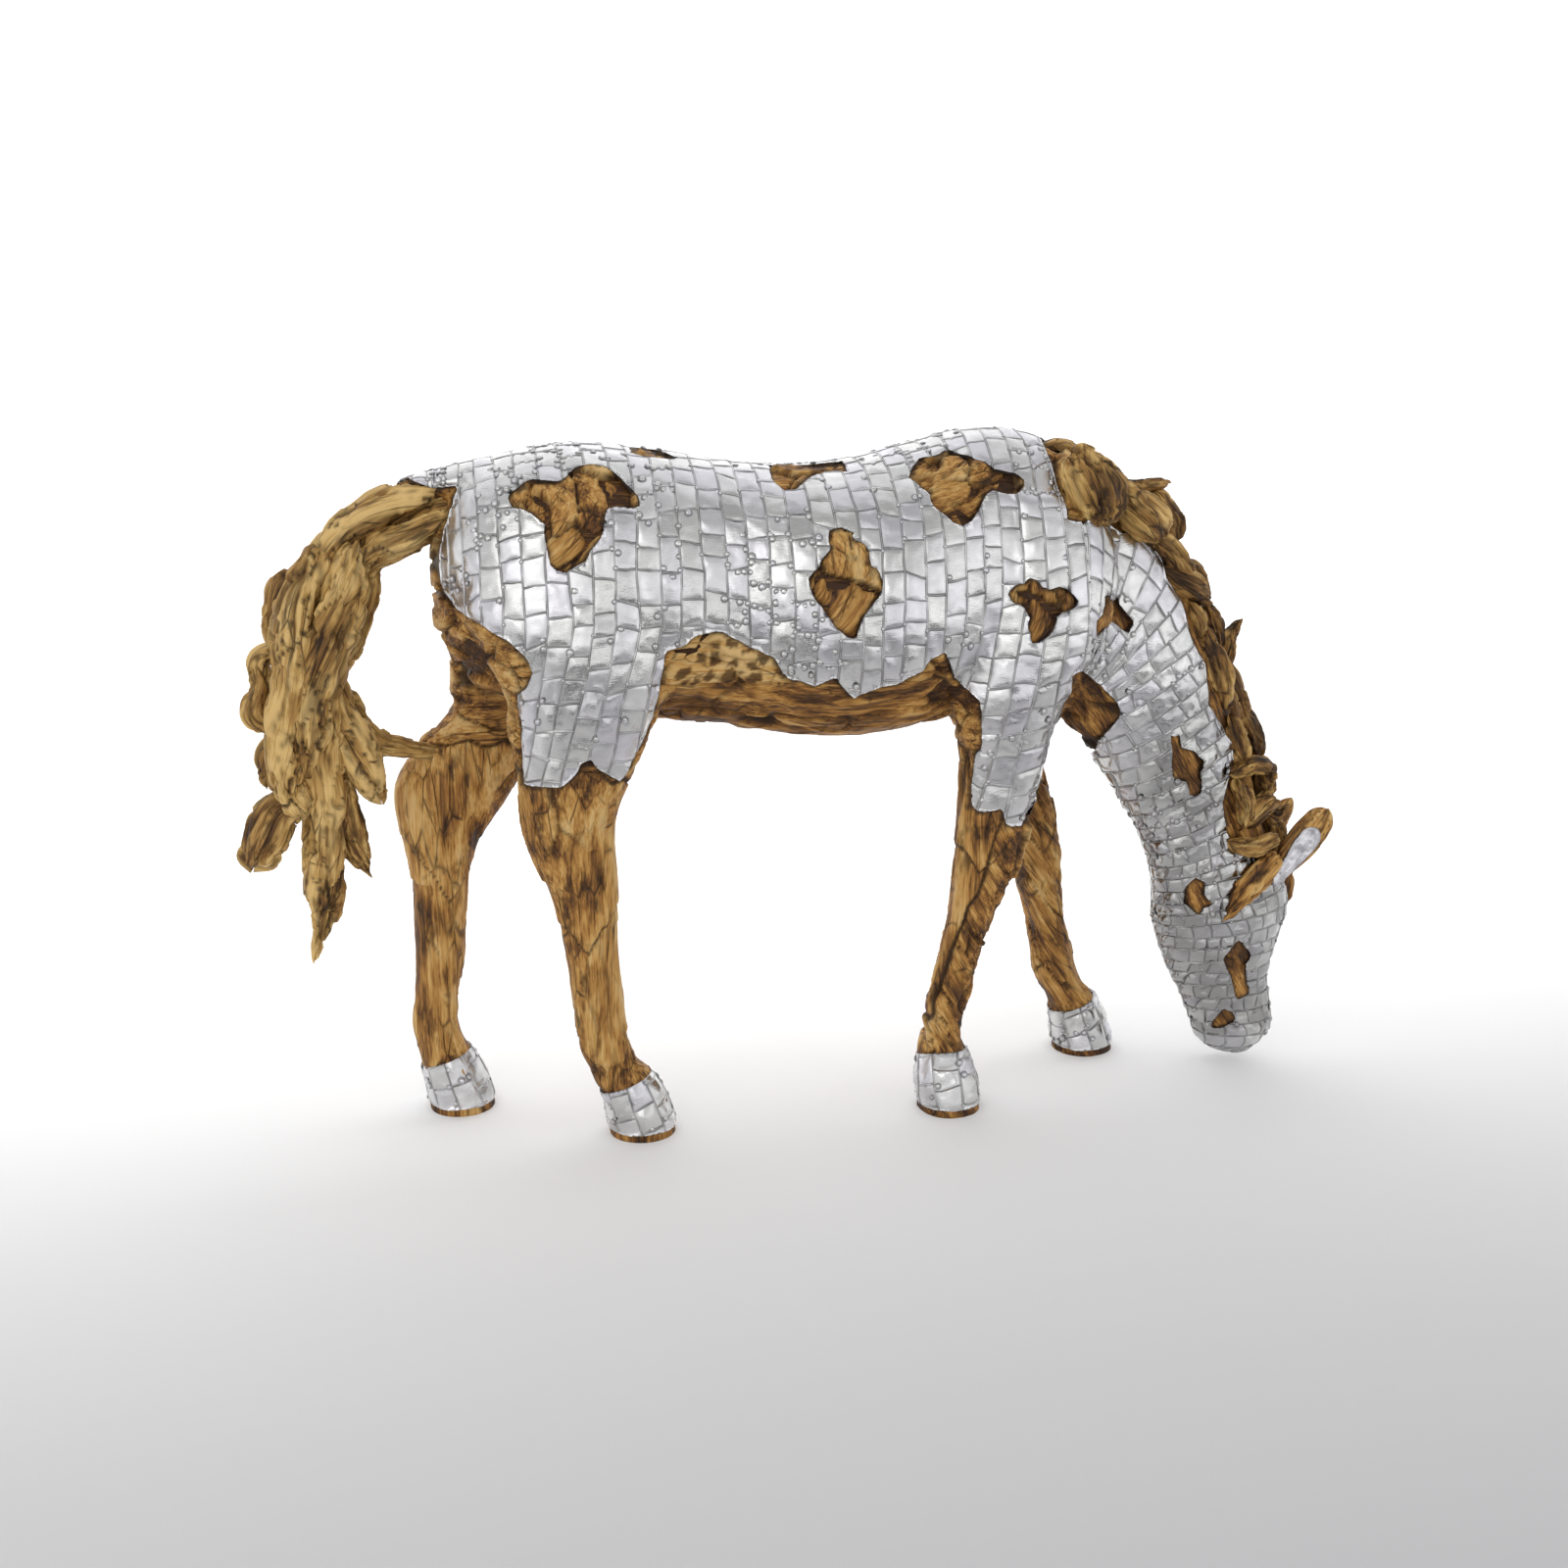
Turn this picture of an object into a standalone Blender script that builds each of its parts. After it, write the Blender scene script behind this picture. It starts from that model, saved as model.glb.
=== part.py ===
"""Grazing horse: a carved root-wood body under riveted sheet steel, with a root-wood mane and tail.

+X is the way the horse faces, +Y its left side, +Z up. The near side is its right side, at -Y.
The figure's own coordinates are in parts, 148 to the height of the withers, and start on the floor
under the middle of the back. centre_on_floor moves the finished figure to the middle of its footprint.
"""
import math

import bmesh
import bpy
import numpy as np
from mathutils import Matrix, Vector

# Driving sizes, in metres
WITHERS_HEIGHT = 1.48
PARTS_TO_WITHERS = 148
PART = WITHERS_HEIGHT / PARTS_TO_WITHERS     # 1 cm at the real size
SHEET_THICKNESS = 0.004      # steel tiles with their beads and dents
FIT_GAP = 0.0003             # between pieces that touch
SOLE_BAND = 0.016            # bare wood under each hoof's steel

# Fineness of the solids
BODY_VOXEL = 1.3 * PART
BODY_SMOOTHING = 9
BODY_TRIANGLES = 1200
FOLD_RELAX = 0.3             # smoothing of the thinned skin, so that sheet can be laid on its folds
ROOT_SIDES = 5
EAR_SIDES = 8
ROOT_LUMPS = 0.16            # how uneven a root piece's section is

HALF_ROOM = 80 * PART        # a region or cutter reaches this far across, past everything
MIDLINE_LAP = 0.002          # near and far regions of the steel share this at the midline

WOOD = (0.33, 0.17, 0.055)
PALE_WOOD = (0.42, 0.24, 0.09)
STEEL = (0.62, 0.62, 0.64)

# Torso stations from rump to breast: x, top, bottom, half width, height of the widest line
TORSO = [
    (-72.3, 128.3, 110.3, 4, 119.3),
    (-70, 135.8, 104.3, 11, 121.3),
    (-63, 142.9, 98.3, 18, 122.3),
    (-53, 145.9, 95.3, 22.5, 122.3),
    (-42, 146.9, 92.3, 24.5, 120.3),
    (-28, 145.5, 90.5, 23, 117.3),
    (-15, 143.2, 88.6, 22.5, 114.3),
    (0, 141.8, 86, 25.5, 112.3),
    (13, 142.8, 85.2, 26.5, 111.3),
    (26, 145.8, 86.3, 25, 112.3),
    (36, 148.3, 88.9, 22, 114.3),
    (46, 148.8, 88.3, 19, 116.3),
    (56, 146.3, 88.3, 17.5, 116.3),
    (65, 140.3, 89.3, 14.5, 114.3),
    (72, 129.3, 95.3, 9, 111.3),
]

# Dock stations from croup to tip: x, z, half height, half width
TAIL_HEAD = [
    (-56, 140.8, 4, 6),
    (-64, 140.2, 3.6, 6),
    (-71, 139.3, 2.8, 5),
    (-76, 138.8, 2.2, 4),
    (-79.5, 138.3, 1.4, 2.6),
]

# Neck and head: crest point x, z, throat point x, z, half width
NECK = [
    (46, 144.3, 56, 94.3, 13),
    (62, 141.8, 62, 87.3, 13.5),
    (76, 132.3, 67.5, 80.8, 12.5),
    (88, 118.8, 72.5, 73.3, 11.5),
    (97, 103.3, 77.2, 66.3, 10.5),
    (103.5, 87.3, 81.3, 59.9, 9.5),
    (108, 71.3, 84, 53.5, 9),
    (112, 58.4, 85.8, 47.7, 9),
    (116.2, 48.6, 86.3, 41.3, 10),
    (119.4, 39.9, 86.8, 36.5, 10),
    (117.3, 31.1, 89, 29.7, 8.5),
    (115.8, 23.8, 91.8, 23.3, 7),
    (116.4, 17, 95, 17.5, 6.5),
    (117.6, 10.7, 97.4, 11.5, 6.6),
    (115.8, 6.3, 99.6, 6.8, 6),
    (111, 3.7, 104.7, 3.3, 3.6),
]

# Legs, from inside the body down to the pastern: x, y, z, half depth, half width
NEAR_HIND = [
    (-46, -11, 128.3, 21, 11),
    (-46, -14, 114.3, 21, 11.5),
    (-43.5, -15, 102.3, 17, 10.5),
    (-44.6, -14.5, 92.3, 14.6, 9),
    (-46.3, -13, 82.3, 12.2, 7.5),
    (-48.2, -11.5, 71.3, 9.6, 6.5),
    (-46.6, -10.8, 62.4, 7.9, 5.8),
    (-44.9, -10.3, 54.5, 6.4, 5.1),
    (-44.1, -10, 46.7, 5.8, 4.8),
    (-43.3, -9.5, 37, 5.3, 4.5),
    (-42.4, -9, 26.3, 5.1, 4.5),
    (-41.4, -8.8, 20.4, 5.9, 4.9),
    (-39.6, -8.6, 15.1, 5.4, 4.6),
    (-38.4, -8.5, 10.7, 5.2, 4.8),
]
FAR_HIND = [
    (-50, 11, 128.3, 20, 11),
    (-51.5, 14, 112.3, 18.5, 11.5),
    (-54, 15, 99.3, 15, 10.5),
    (-57.5, 14.5, 91.3, 13, 9),
    (-63.8, 13.5, 83.3, 13.2, 7.6),
    (-69.2, 13, 74.8, 12.8, 6.7),
    (-72.2, 13, 65.8, 9.4, 6.1),
    (-73.6, 13, 58.4, 7, 5.6),
    (-74.2, 13, 48.6, 6.2, 4.9),
    (-75, 13, 37, 5.6, 4.5),
    (-76.1, 13, 26.3, 4.9, 4.4),
    (-76.4, 13, 19.9, 5.3, 4.7),
    (-74.6, 13, 14.6, 5.3, 4.5),
    (-73.2, 13, 10.7, 5.2, 4.8),
]
NEAR_FORE = [
    (50, -10, 136.3, 13, 7),
    (52, -13.5, 122.3, 16, 8.5),
    (51.5, -15, 108.3, 14.5, 9),
    (46, -15, 95.3, 12.3, 8.5),
    (44.5, -14, 86.3, 10.4, 7.4),
    (44.6, -13.2, 78.3, 9.1, 6.6),
    (43.5, -12.6, 67.3, 8.1, 6),
    (42.1, -12, 57.4, 7.4, 5.4),
    (39.9, -11.5, 48.1, 5.9, 4.8),
    (37.3, -11, 37.4, 5, 4.4),
    (35.2, -10.6, 29.2, 4.7, 4.5),
    (34.1, -10.4, 23.8, 5, 4.8),
    (34.3, -10.2, 17.5, 3.7, 4.3),
    (34.9, -10, 11.7, 4.1, 4.5),
]
FAR_FORE = [
    (50, 10, 136.3, 13, 7),
    (51, 13.5, 122.3, 15.5, 8.5),
    (49.5, 15, 108.3, 13.5, 9),
    (46.5, 15, 96.3, 11.3, 8.5),
    (48.5, 14.5, 88.3, 9.6, 7.6),
    (51.5, 14, 80.3, 8.4, 6.8),
    (55, 14, 72.3, 7.7, 6.3),
    (58.6, 14, 63.4, 7.2, 5.8),
    (61.6, 14, 52.5, 6.5, 5.2),
    (64.2, 14.2, 43.3, 5.1, 4.6),
    (66, 14.5, 35, 4.5, 4.3),
    (67.8, 14.8, 26.3, 4.5, 4.6),
    (69.4, 15, 19.9, 5.1, 4.6),
    (72, 15.2, 14.1, 4.8, 4.6),
]

LEGS = {"near_hind": NEAR_HIND, "far_hind": FAR_HIND, "near_fore": NEAR_FORE, "far_fore": FAR_FORE}

# Hooves: sole centre x, y, and the way the toe points, in degrees from +X towards +Y
HOOVES = {
    "near_hind": (-33.7, -8.5, -8),
    "far_hind": (-71.5, 13, -6),
    "near_fore": (35.1, -10.5, -78),
    "far_fore": (76.9, 15.5, 0),
}
# Hoof rings: z, shift towards the toe, half length, half width
HOOF_RINGS = [
    (15.5, -4.4, 5.2, 4.9),
    (11.5, -2.4, 6.2, 6),
    (6, -0.8, 7, 6.8),
    (1.5, 0, 7.2, 7),
    (-3, 0.2, 7.3, 7.1),
]

# Side-view outlines of the sheet steel, x and z, read round from the tail head down the rump
NEAR_STEEL = [
    (-82, 138.7), (-72, 139.2), (-66, 139.8), (-70, 130.3), (-71.8, 120.3), (-68.5, 114.3),
    (-58, 109.3), (-54.5, 104.8), (-57.5, 98.3), (-57.5, 78.3), (-50, 78.8), (-45.3, 85.3), (-38, 80),
    (-33, 78.3), (-27, 91.3), (-27.5, 106.3), (-17, 110.8), (-6.5, 104.3), (-4.5, 100.8), (1, 98.3),
    (5, 101.3), (10, 96.8), (24, 101.3), (26.5, 105.3), (29.5, 104.3), (32, 99.3), (37, 94.3),
    (38, 84.3), (37.3, 69.8), (44, 70.3), (45, 65.8), (52, 64.3), (57.5, 87.3), (57, 98.3), (63, 97.8),
    (68, 94.3), (72, 89.3), (72.5, 85.8), (66, 78.3), (82, 52.5), (83.5, 38.9), (91, 17.5), (99, 1),
    (112, -1), (122, 3.9), (121, 21.4), (126, 42.8), (116, 50.6), (106, 52.5), (98.5, 65.3),
    (102.5, 73.8), (101.5, 79.3), (95.5, 85.3), (91.5, 98.3), (82, 116.3), (82, 123.3), (77, 127.3),
    (67, 129.3), (56.5, 129.3), (55.5, 144.3), (62, 156.3), (-82, 156.3),
]
FAR_STEEL = [
    (-83, 138.2), (-72.5, 138.7), (-65.5, 139.3), (-68.5, 135.3), (-75, 128.3), (-76, 110.3),
    (-75, 95.3), (-82, 82.3), (-75, 79.8), (-61, 80.3), (-56, 77.8), (-50, 85.3), (-38, 99.3),
    (-32, 106.3), (-25, 108.3), (-10, 101.3), (9, 100.3), (18, 97.8), (27, 100.3), (34, 96.3),
    (42, 84.3), (50, 80.3), (63, 79.3), (64.5, 90.3), (64, 97), (68.6, 93.3), (73, 88.9), (73.4, 85.3),
    (65, 77.3), (81, 51.5), (82.5, 37.9), (90, 16.5), (98, 0), (112, -2), (123.5, 2.9), (122.3, 21.4),
    (127, 42.8), (116, 51.5), (106, 53.5), (101, 62.4), (101, 72.3), (94, 92.3), (87, 107.3),
    (75, 125.3), (66, 130.3), (57, 132.3), (56.2, 145.3), (63, 157.3), (-83, 157.3),
]
# Bare wood showing through the near side's steel
NEAR_PATCHES = {
    "rump": [(-58, 137.3), (-46, 140.3), (-41, 143.3), (-36, 139.3), (-32.5, 135.3), (-39.5, 134.3),
        (-43, 127.3), (-45, 123.3), (-51, 123.8), (-51.5, 131.3)],
    "saddle": [(-4, 144.3), (-4, 138.3), (0, 137.3), (4, 139.8), (11, 140.3), (12, 145.3)],
    "withers": [(23, 140.3), (30, 144.3), (37, 143.3), (47.5, 138.3), (46, 135.8), (38, 136.3),
        (36, 131.3), (32, 130.3), (27, 134.3)],
    "barrel": [(3.5, 129.3), (8, 130.3), (12, 126.8), (15, 119.3), (10, 109.3), (5, 109.3),
        (-0.3, 120.8)],
    "shoulder": [(43, 116.3), (45, 118.8), (50, 116.3), (56, 114.8), (52, 112.3), (50, 107.3),
        (46, 106.3), (47, 111.3)],
    "neck_base": [(60.5, 110.3), (63, 113.8), (72, 113.3), (76.5, 104.8), (61.5, 106.3)],
    "neck": [(85, 82.8), (93, 75.8), (92.5, 67.3), (85, 74.3)],
    "cheek": [(90.7, 44.7), (93.5, 48.6), (97.5, 43.1), (92, 41.3)],
    "face": [(101.2, 29.7), (104.5, 34), (108.3, 30.1), (109, 20.9), (106, 19.4)],
}
FAR_PATCHES = {
    "rump": [(-60, 132.3), (-52, 136.3), (-44, 133.3), (-42, 126.3), (-50, 120.3)],
    "barrel": [(-8, 124.3), (-1, 128.3), (8, 125.3), (10, 117.3), (2, 110.3)],
    "shoulder": [(44, 114.3), (50, 117.3), (55, 112.3), (49, 105.3)],
    "neck": [(80, 90.3), (84, 93.3), (88, 86.3), (83, 80.3)],
}

# Hoof steel: height of its top edge at the sole's centre, and how far that edge climbs towards the toe
CUFF_TOP = 13.2
CUFF_CLIMB = 0.32
CUFF_REACH = 15

# Root-wood pieces, each a path from root to tip: x, y, z, half width seen from the side, half depth
TAIL = {
    "tail_root": [(-62, 0, 135.8, 2.4, 4), (-71, 0, 136.7, 3.8, 5), (-80.6, -1, 134.9, 4.2, 5.4),
        (-87.5, -1, 130.9, 4.4, 5.4), (-93, -1, 124.3, 4.6, 5), (-96.5, -1, 116.3, 3.4, 4)],
    "tail_under_slab": [(-63, -2, 134.8, 2.4, 4), (-70.5, -2, 133.3, 3.4, 4.6),
        (-77, -3, 130.3, 3.6, 4.8), (-84.4, -3, 126.3, 3.2, 4.2), (-88, -3, 120.8, 2, 3)],
    "tail_middle_strand": [(-87, -4, 129.3, 2.6, 3.2), (-89.5, -5, 120.3, 4.6, 4.4),
        (-93.3, -6, 109.8, 5, 4.6), (-97.2, -5, 100.3, 4.6, 4.4), (-99, -4, 91.3, 4, 4),
        (-100, -3, 82.3, 2, 2.4)],
    "tail_long_strand": [(-93.5, -3, 127.3, 2.6, 3.4), (-97.6, -4, 118.3, 4.6, 4.6),
        (-99.8, -4, 108.3, 4.8, 4.8), (-101.5, -4, 98.3, 4.6, 4.6), (-103.2, -3, 88.3, 4.4, 4.4),
        (-103.8, -3, 80.3, 3.6, 3.8), (-101.5, -3, 73.3, 1.8, 2)],
    "tail_inner_strand": [(-84.6, -1, 125.3, 2.2, 3), (-86.8, -1, 118.3, 3.6, 3.8),
        (-89.6, -1, 111.3, 4, 4), (-93, -1, 105.3, 3.6, 3.8), (-95.2, 0, 98.3, 2, 2.4)],
    "tail_lower_strand": [(-95, 0, 101.3, 3.6, 3.8), (-97.2, 0, 88.3, 5, 4.6),
        (-96.3, 0, 76.3, 4.6, 4.4), (-96.8, 0, 64.3, 4.4, 4), (-98, 0, 53.5, 3.4, 3.2),
        (-100.6, 0, 41.8, 0.6, 0.8)],
    "tail_burl": [(-93.8, 2, 103.3, 2.8, 3), (-91.6, 2, 91.8, 4.2, 4), (-88.4, 2, 82.3, 4.2, 3.8),
        (-85.6, 2, 74.9, 1.8, 2)],
    "tail_cross_branch": [(-91.5, 3, 95.3, 2, 2.4), (-86, 5, 86.8, 2.4, 2.4), (-80.5, 7, 84.1, 2, 2),
        (-74.5, 9, 82.5, 1.7, 1.7), (-67.5, 10, 81.3, 1.2, 1.2)],
    "tail_splinter": [(-94, 2, 80.3, 2.4, 2.6), (-92.8, 2, 73.3, 3.6, 3), (-91.4, 2, 65.8, 3.2, 2.6),
        (-88.4, 2, 58.6, 0.7, 0.8)],
    "tail_upper_knob": [(-97.5, 1, 122.8, 1.6, 2.4), (-101.5, 1, 118.8, 3.4, 3.4),
        (-104.3, 1, 111.3, 2.6, 2.8), (-103.5, 1, 106.3, 1.2, 1.6)],
    "tail_middle_knob": [(-102.5, 0, 106.8, 2, 2.6), (-107, 0, 105.3, 2.2, 2.6),
        (-107.4, 0, 99.8, 2.2, 2.6), (-108.4, 0, 94.8, 3.2, 3), (-104.5, 0, 91.3, 2, 2.4)],
    "tail_lower_knob": [(-103, 0, 90.8, 2, 2.6), (-106.8, 0, 85.1, 3, 3), (-107.8, 0, 79.3, 1.4, 1.6)],
    "tail_curl": [(-101, 0, 75.4, 3.2, 3.4), (-105.4, 0, 73.8, 4.2, 3.8), (-108.6, 0, 68.6, 4.8, 4),
        (-111.4, 0, 62.6, 3.4, 3)],
}
MANE = {
    "mane_big_lump": [(58.5, -11, 143.8, 3, 3), (60.5, -14, 139.3, 6, 4.6),
        (62.5, -14.5, 133.8, 6.2, 4.6), (62, -14, 128.8, 3, 2.8)],
    "mane_second_lump": [(69, -8, 136.8, 2.6, 3), (72.6, -9.5, 132.9, 4.8, 4),
        (77, -9.5, 129.5, 4.6, 3.8), (81, -8, 126.5, 2, 2.4)],
    "mane_side_1": [(78, -6, 127.3, 1.8, 2.4), (82, -7, 124.1, 3.2, 3.4), (86, -6.5, 119.6, 3.2, 3),
        (88.5, -5, 115.9, 1.6, 2)],
    "mane_side_2": [(81.8, -7, 118.6, 1.8, 2.2), (87.6, -7.5, 115.3, 3, 2.8),
        (94.4, -4.5, 111.1, 1.4, 1.8)],
    "mane_knot": [(88, -7.4, 111.3, 1.4, 1.6), (90, -7.8, 107.9, 2.1, 2), (91, -7.4, 104.3, 1.2, 1.4)],
    "mane_side_3": [(92.4, -6, 105.3, 1.6, 2.2), (94.6, -6.8, 99.8, 2.8, 2.8),
        (96.8, -6.8, 94.3, 2.8, 2.8), (98.6, -6, 87.1, 1.4, 1.8)],
    "mane_side_4": [(97, -2.5, 94.8, 2, 2.6), (100.2, -2.5, 87.9, 3, 3), (103.6, -2.5, 81.5, 2, 2.4)],
    "mane_side_5": [(99.6, -7, 85.3, 1.4, 2), (102, -7.5, 79.3, 2.6, 2.6),
        (103.4, -7.5, 74.9, 1.2, 1.6)],
    "mane_hook": [(100.4, -9, 73.3, 1.2, 1.6), (105.3, -8.6, 74.9, 2.1, 2.2), (110, -6, 73.1, 2, 2),
        (111.4, -5, 68.9, 1, 1.2)],
    "mane_side_6": [(101.5, -8.5, 71.3, 1.6, 2), (103.5, -9, 66.3, 2.4, 2.6),
        (104, -9, 60.9, 1.4, 1.8)],
    "mane_side_7": [(104, -7, 59.9, 1.8, 2.4), (107.6, -7, 63.9, 3.2, 3.2),
        (112.5, -4, 65.3, 2.2, 2.6)],
    "mane_cross_piece": [(99.4, -10.4, 57.6, 1.2, 1.5), (106, -10, 55.8, 2.3, 2.2),
        (112.6, -8, 57.2, 1.4, 1.8)],
    "mane_ridge_plate": [(55.5, 2, 145.2, 1.2, 3.6), (62, 2, 144.2, 1.8, 4.6), (69, 2, 140.9, 2, 4.6),
        (75, 2, 137.2, 1.4, 3)],
    "mane_stick": [(72.5, 0, 136.9, 1.4, 1.6), (77.5, 0, 135.9, 1.9, 1.8), (81, 0, 136.2, 1.6, 1.6),
        (84.6, 0, 136.5, 1, 1.1)],
    "mane_crest_1": [(82, 0, 133.3, 1.6, 2.4), (85.6, 0, 129.8, 2.9, 3.4), (87.6, 0, 124.8, 1.8, 2.4)],
    "mane_crest_2": [(88.6, 0, 120.3, 1.8, 2.6), (92, 0, 116.3, 2.8, 3.4), (95, 0, 111.1, 1.8, 2.4)],
    "mane_crest_3": [(95.6, 0, 110.3, 1.8, 2.6), (97.6, 0, 104.3, 2.7, 3.2), (98.8, 0, 98.3, 1.6, 2.2)],
    "mane_point_1": [(99.4, 0, 93.8, 1.8, 2.4), (100.8, 0, 100.3, 2.5, 2.8),
        (102.6, 0, 104.1, 1.4, 1.6), (104, 0, 105.8, 0.5, 0.6)],
    "mane_crest_4": [(101.4, 0, 96.3, 1.6, 2.4), (103.2, 0, 90.3, 2.9, 3.2),
        (105.8, 0, 84.3, 1.6, 2.2)],
    "mane_crest_5": [(104.6, 0, 85.9, 1.8, 2.4), (108.2, 0, 80.3, 2.9, 3.2),
        (110.8, 0, 74.3, 1.8, 2.4)],
    "mane_crest_6": [(110, 0, 74.8, 1.8, 2.4), (112, 0, 68.3, 2.9, 3.2), (113.4, 0, 61.4, 1.8, 2.4)],
    "mane_point_2": [(112.4, 0, 64.3, 1.6, 2), (115.6, 0, 61, 1.6, 1.8), (118.6, 0, 62.4, 0.5, 0.6)],
    "mane_crest_7": [(112.6, -1, 61.4, 1.8, 2.6), (114.8, -1, 56.4, 2.7, 3.2),
        (115.5, -1, 51.1, 1.6, 2.2)],
    "forelock_leaf": [(112.2, -8.5, 52.9, 1.8, 2), (108.2, -10.4, 50, 3.2, 2.2),
        (103.6, -11, 45.5, 2.8, 2), (99.6, -11, 40.1, 0.6, 0.8)],
    "forelock_chip": [(118.6, 1.5, 47.7, 1.2, 1.8), (121, 2, 43.8, 1.9, 2), (121.4, 2, 38.4, 1, 1.2)],
}
EARS = {
    "ear_near": [(111.5, -6, 46.2, 2.4, 2.2), (115, -7, 50.1, 3.4, 2), (119.3, -7.8, 55.4, 4.2, 1.7),
        (123, -8.3, 60.1, 3, 1.3), (124.8, -8.5, 62.8, 0.9, 0.7)],
    "ear_far": [(111.5, 6, 46.2, 2.4, 2.2), (115, 7, 50.1, 3.4, 2), (119.3, 7.8, 55.4, 4.2, 1.7),
        (123, 8.3, 60.1, 3, 1.3), (124.8, 8.5, 62.8, 0.9, 0.7)],
}
# The steel plate on the near ear is this share of the ear's width
EAR_PLATE_SHARE = 0.72


def smooth_rows(rows, count):
    """Catmull-Rom rows through the given rows, evenly spaced by row number."""
    rows = np.array(rows, float)
    padded = np.vstack([2 * rows[0] - rows[1], rows, 2 * rows[-1] - rows[-2]])
    out = []
    for t in np.linspace(0, len(rows) - 1, count):
        i = min(int(t), len(rows) - 2)
        f = t - i
        p0, p1, p2, p3 = padded[i:i + 4]
        out.append(0.5 * (2 * p1 + (p2 - p0) * f + (2 * p0 - 5 * p1 + 4 * p2 - p3) * f * f
                          + (3 * p1 - p0 - 3 * p2 + p3) * f ** 3))
    return np.array(out)


def material(name, colour, metallic, roughness):
    made = bpy.data.materials.new(name)
    made.use_nodes = True
    shader = made.node_tree.nodes["Principled BSDF"]
    shader.inputs["Base Color"].default_value = (*colour, 1)
    shader.inputs["Metallic"].default_value = metallic
    shader.inputs["Roughness"].default_value = roughness
    made.diffuse_color = (*colour, 1)
    return made


def link(name, data):
    made = bpy.data.objects.new(name, data)
    bpy.context.scene.collection.objects.link(made)
    return made


def loft(name, rings):
    """A closed solid through rings of points, each end closed by a fan."""
    mesh = bmesh.new()
    loops = [[mesh.verts.new(p) for p in ring] for ring in rings]
    sides = len(rings[0])
    for lower, upper in zip(loops, loops[1:]):
        for i in range(sides):
            j = (i + 1) % sides
            mesh.faces.new((lower[i], lower[j], upper[j], upper[i]))
    for loop in (loops[0], loops[-1]):
        middle = mesh.verts.new(sum((v.co for v in loop), Vector()) / sides)
        for i in range(sides):
            mesh.faces.new((loop[i], loop[(i + 1) % sides], middle))
    bmesh.ops.recalc_face_normals(mesh, faces=mesh.faces)
    bmesh.ops.triangulate(mesh, faces=mesh.faces)
    data = bpy.data.meshes.new(name)
    mesh.to_mesh(data)
    mesh.free()
    return link(name, data)


def torso():
    """The barrel, from rump to breast, widest below the spine."""
    rings = []
    for x, top, bottom, half_width, widest in smooth_rows(TORSO, 60) * PART:
        ring = []
        for i in range(40):
            turn = 2 * math.pi * i / 40
            up = math.sin(turn)
            reach = (top - widest) if up > 0 else (widest - bottom)
            across = math.cos(turn)
            ring.append((x, half_width * math.copysign(abs(across) ** 0.92, across), widest + reach * up))
        rings.append(ring)
    return loft("torso", rings)


def tail_head():
    """The short flat dock that the steel runs out over."""
    rings = []
    for x, z, half_height, half_width in smooth_rows(TAIL_HEAD, 12) * PART:
        rings.append([(x, half_width * math.cos(2 * math.pi * i / 16),
                       z + half_height * math.sin(2 * math.pi * i / 16)) for i in range(16)])
    return loft("tail_head", rings)


def neck_and_head():
    """Sections that turn with the neck, each between its crest point and its throat point."""
    rings = []
    for crest_x, crest_z, throat_x, throat_z, half_width in smooth_rows(NECK, 70) * PART:
        crest = Vector((crest_x, 0, crest_z))
        throat = Vector((throat_x, 0, throat_z))
        ring = []
        for i in range(36):
            turn = 2 * math.pi * i / 36
            across = math.cos(turn)
            side = half_width * math.copysign(abs(across) ** 0.88, across)
            ring.append((crest + throat) / 2 + (crest - throat) / 2 * math.sin(turn) + Vector((0, side, 0)))
        rings.append(ring)
    return loft("neck_and_head", rings)


def leg(name, rows):
    rings = []
    for x, y, z, half_depth, half_width in smooth_rows(rows, 50) * PART:
        rings.append([(x + half_depth * math.cos(2 * math.pi * i / 28),
                       y + half_width * math.sin(2 * math.pi * i / 28), z) for i in range(28)])
    return loft(name, rings)


def hoof(name, sole_x, sole_y, toe_degrees):
    toe = Vector((math.cos(math.radians(toe_degrees)), math.sin(math.radians(toe_degrees)), 0))
    side = Vector((-toe.y, toe.x, 0))
    rings = []
    for z, shift, half_length, half_width in smooth_rows(HOOF_RINGS, 14) * PART:
        centre = Vector((sole_x * PART, sole_y * PART, z)) + toe * shift
        rings.append([centre + toe * half_length * math.cos(2 * math.pi * i / 28)
                      + side * half_width * math.sin(2 * math.pi * i / 28) for i in range(28)])
    return loft(name, rings)


def evaluated_mesh(made):
    graph = bpy.context.evaluated_depsgraph_get()
    return bpy.data.meshes.new_from_object(made.evaluated_get(graph), depsgraph=graph)


def settle(made):
    """Keep what the modifiers make as the object's own mesh."""
    data = evaluated_mesh(made)
    made.modifiers.clear()
    made.data = data
    return made


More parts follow.
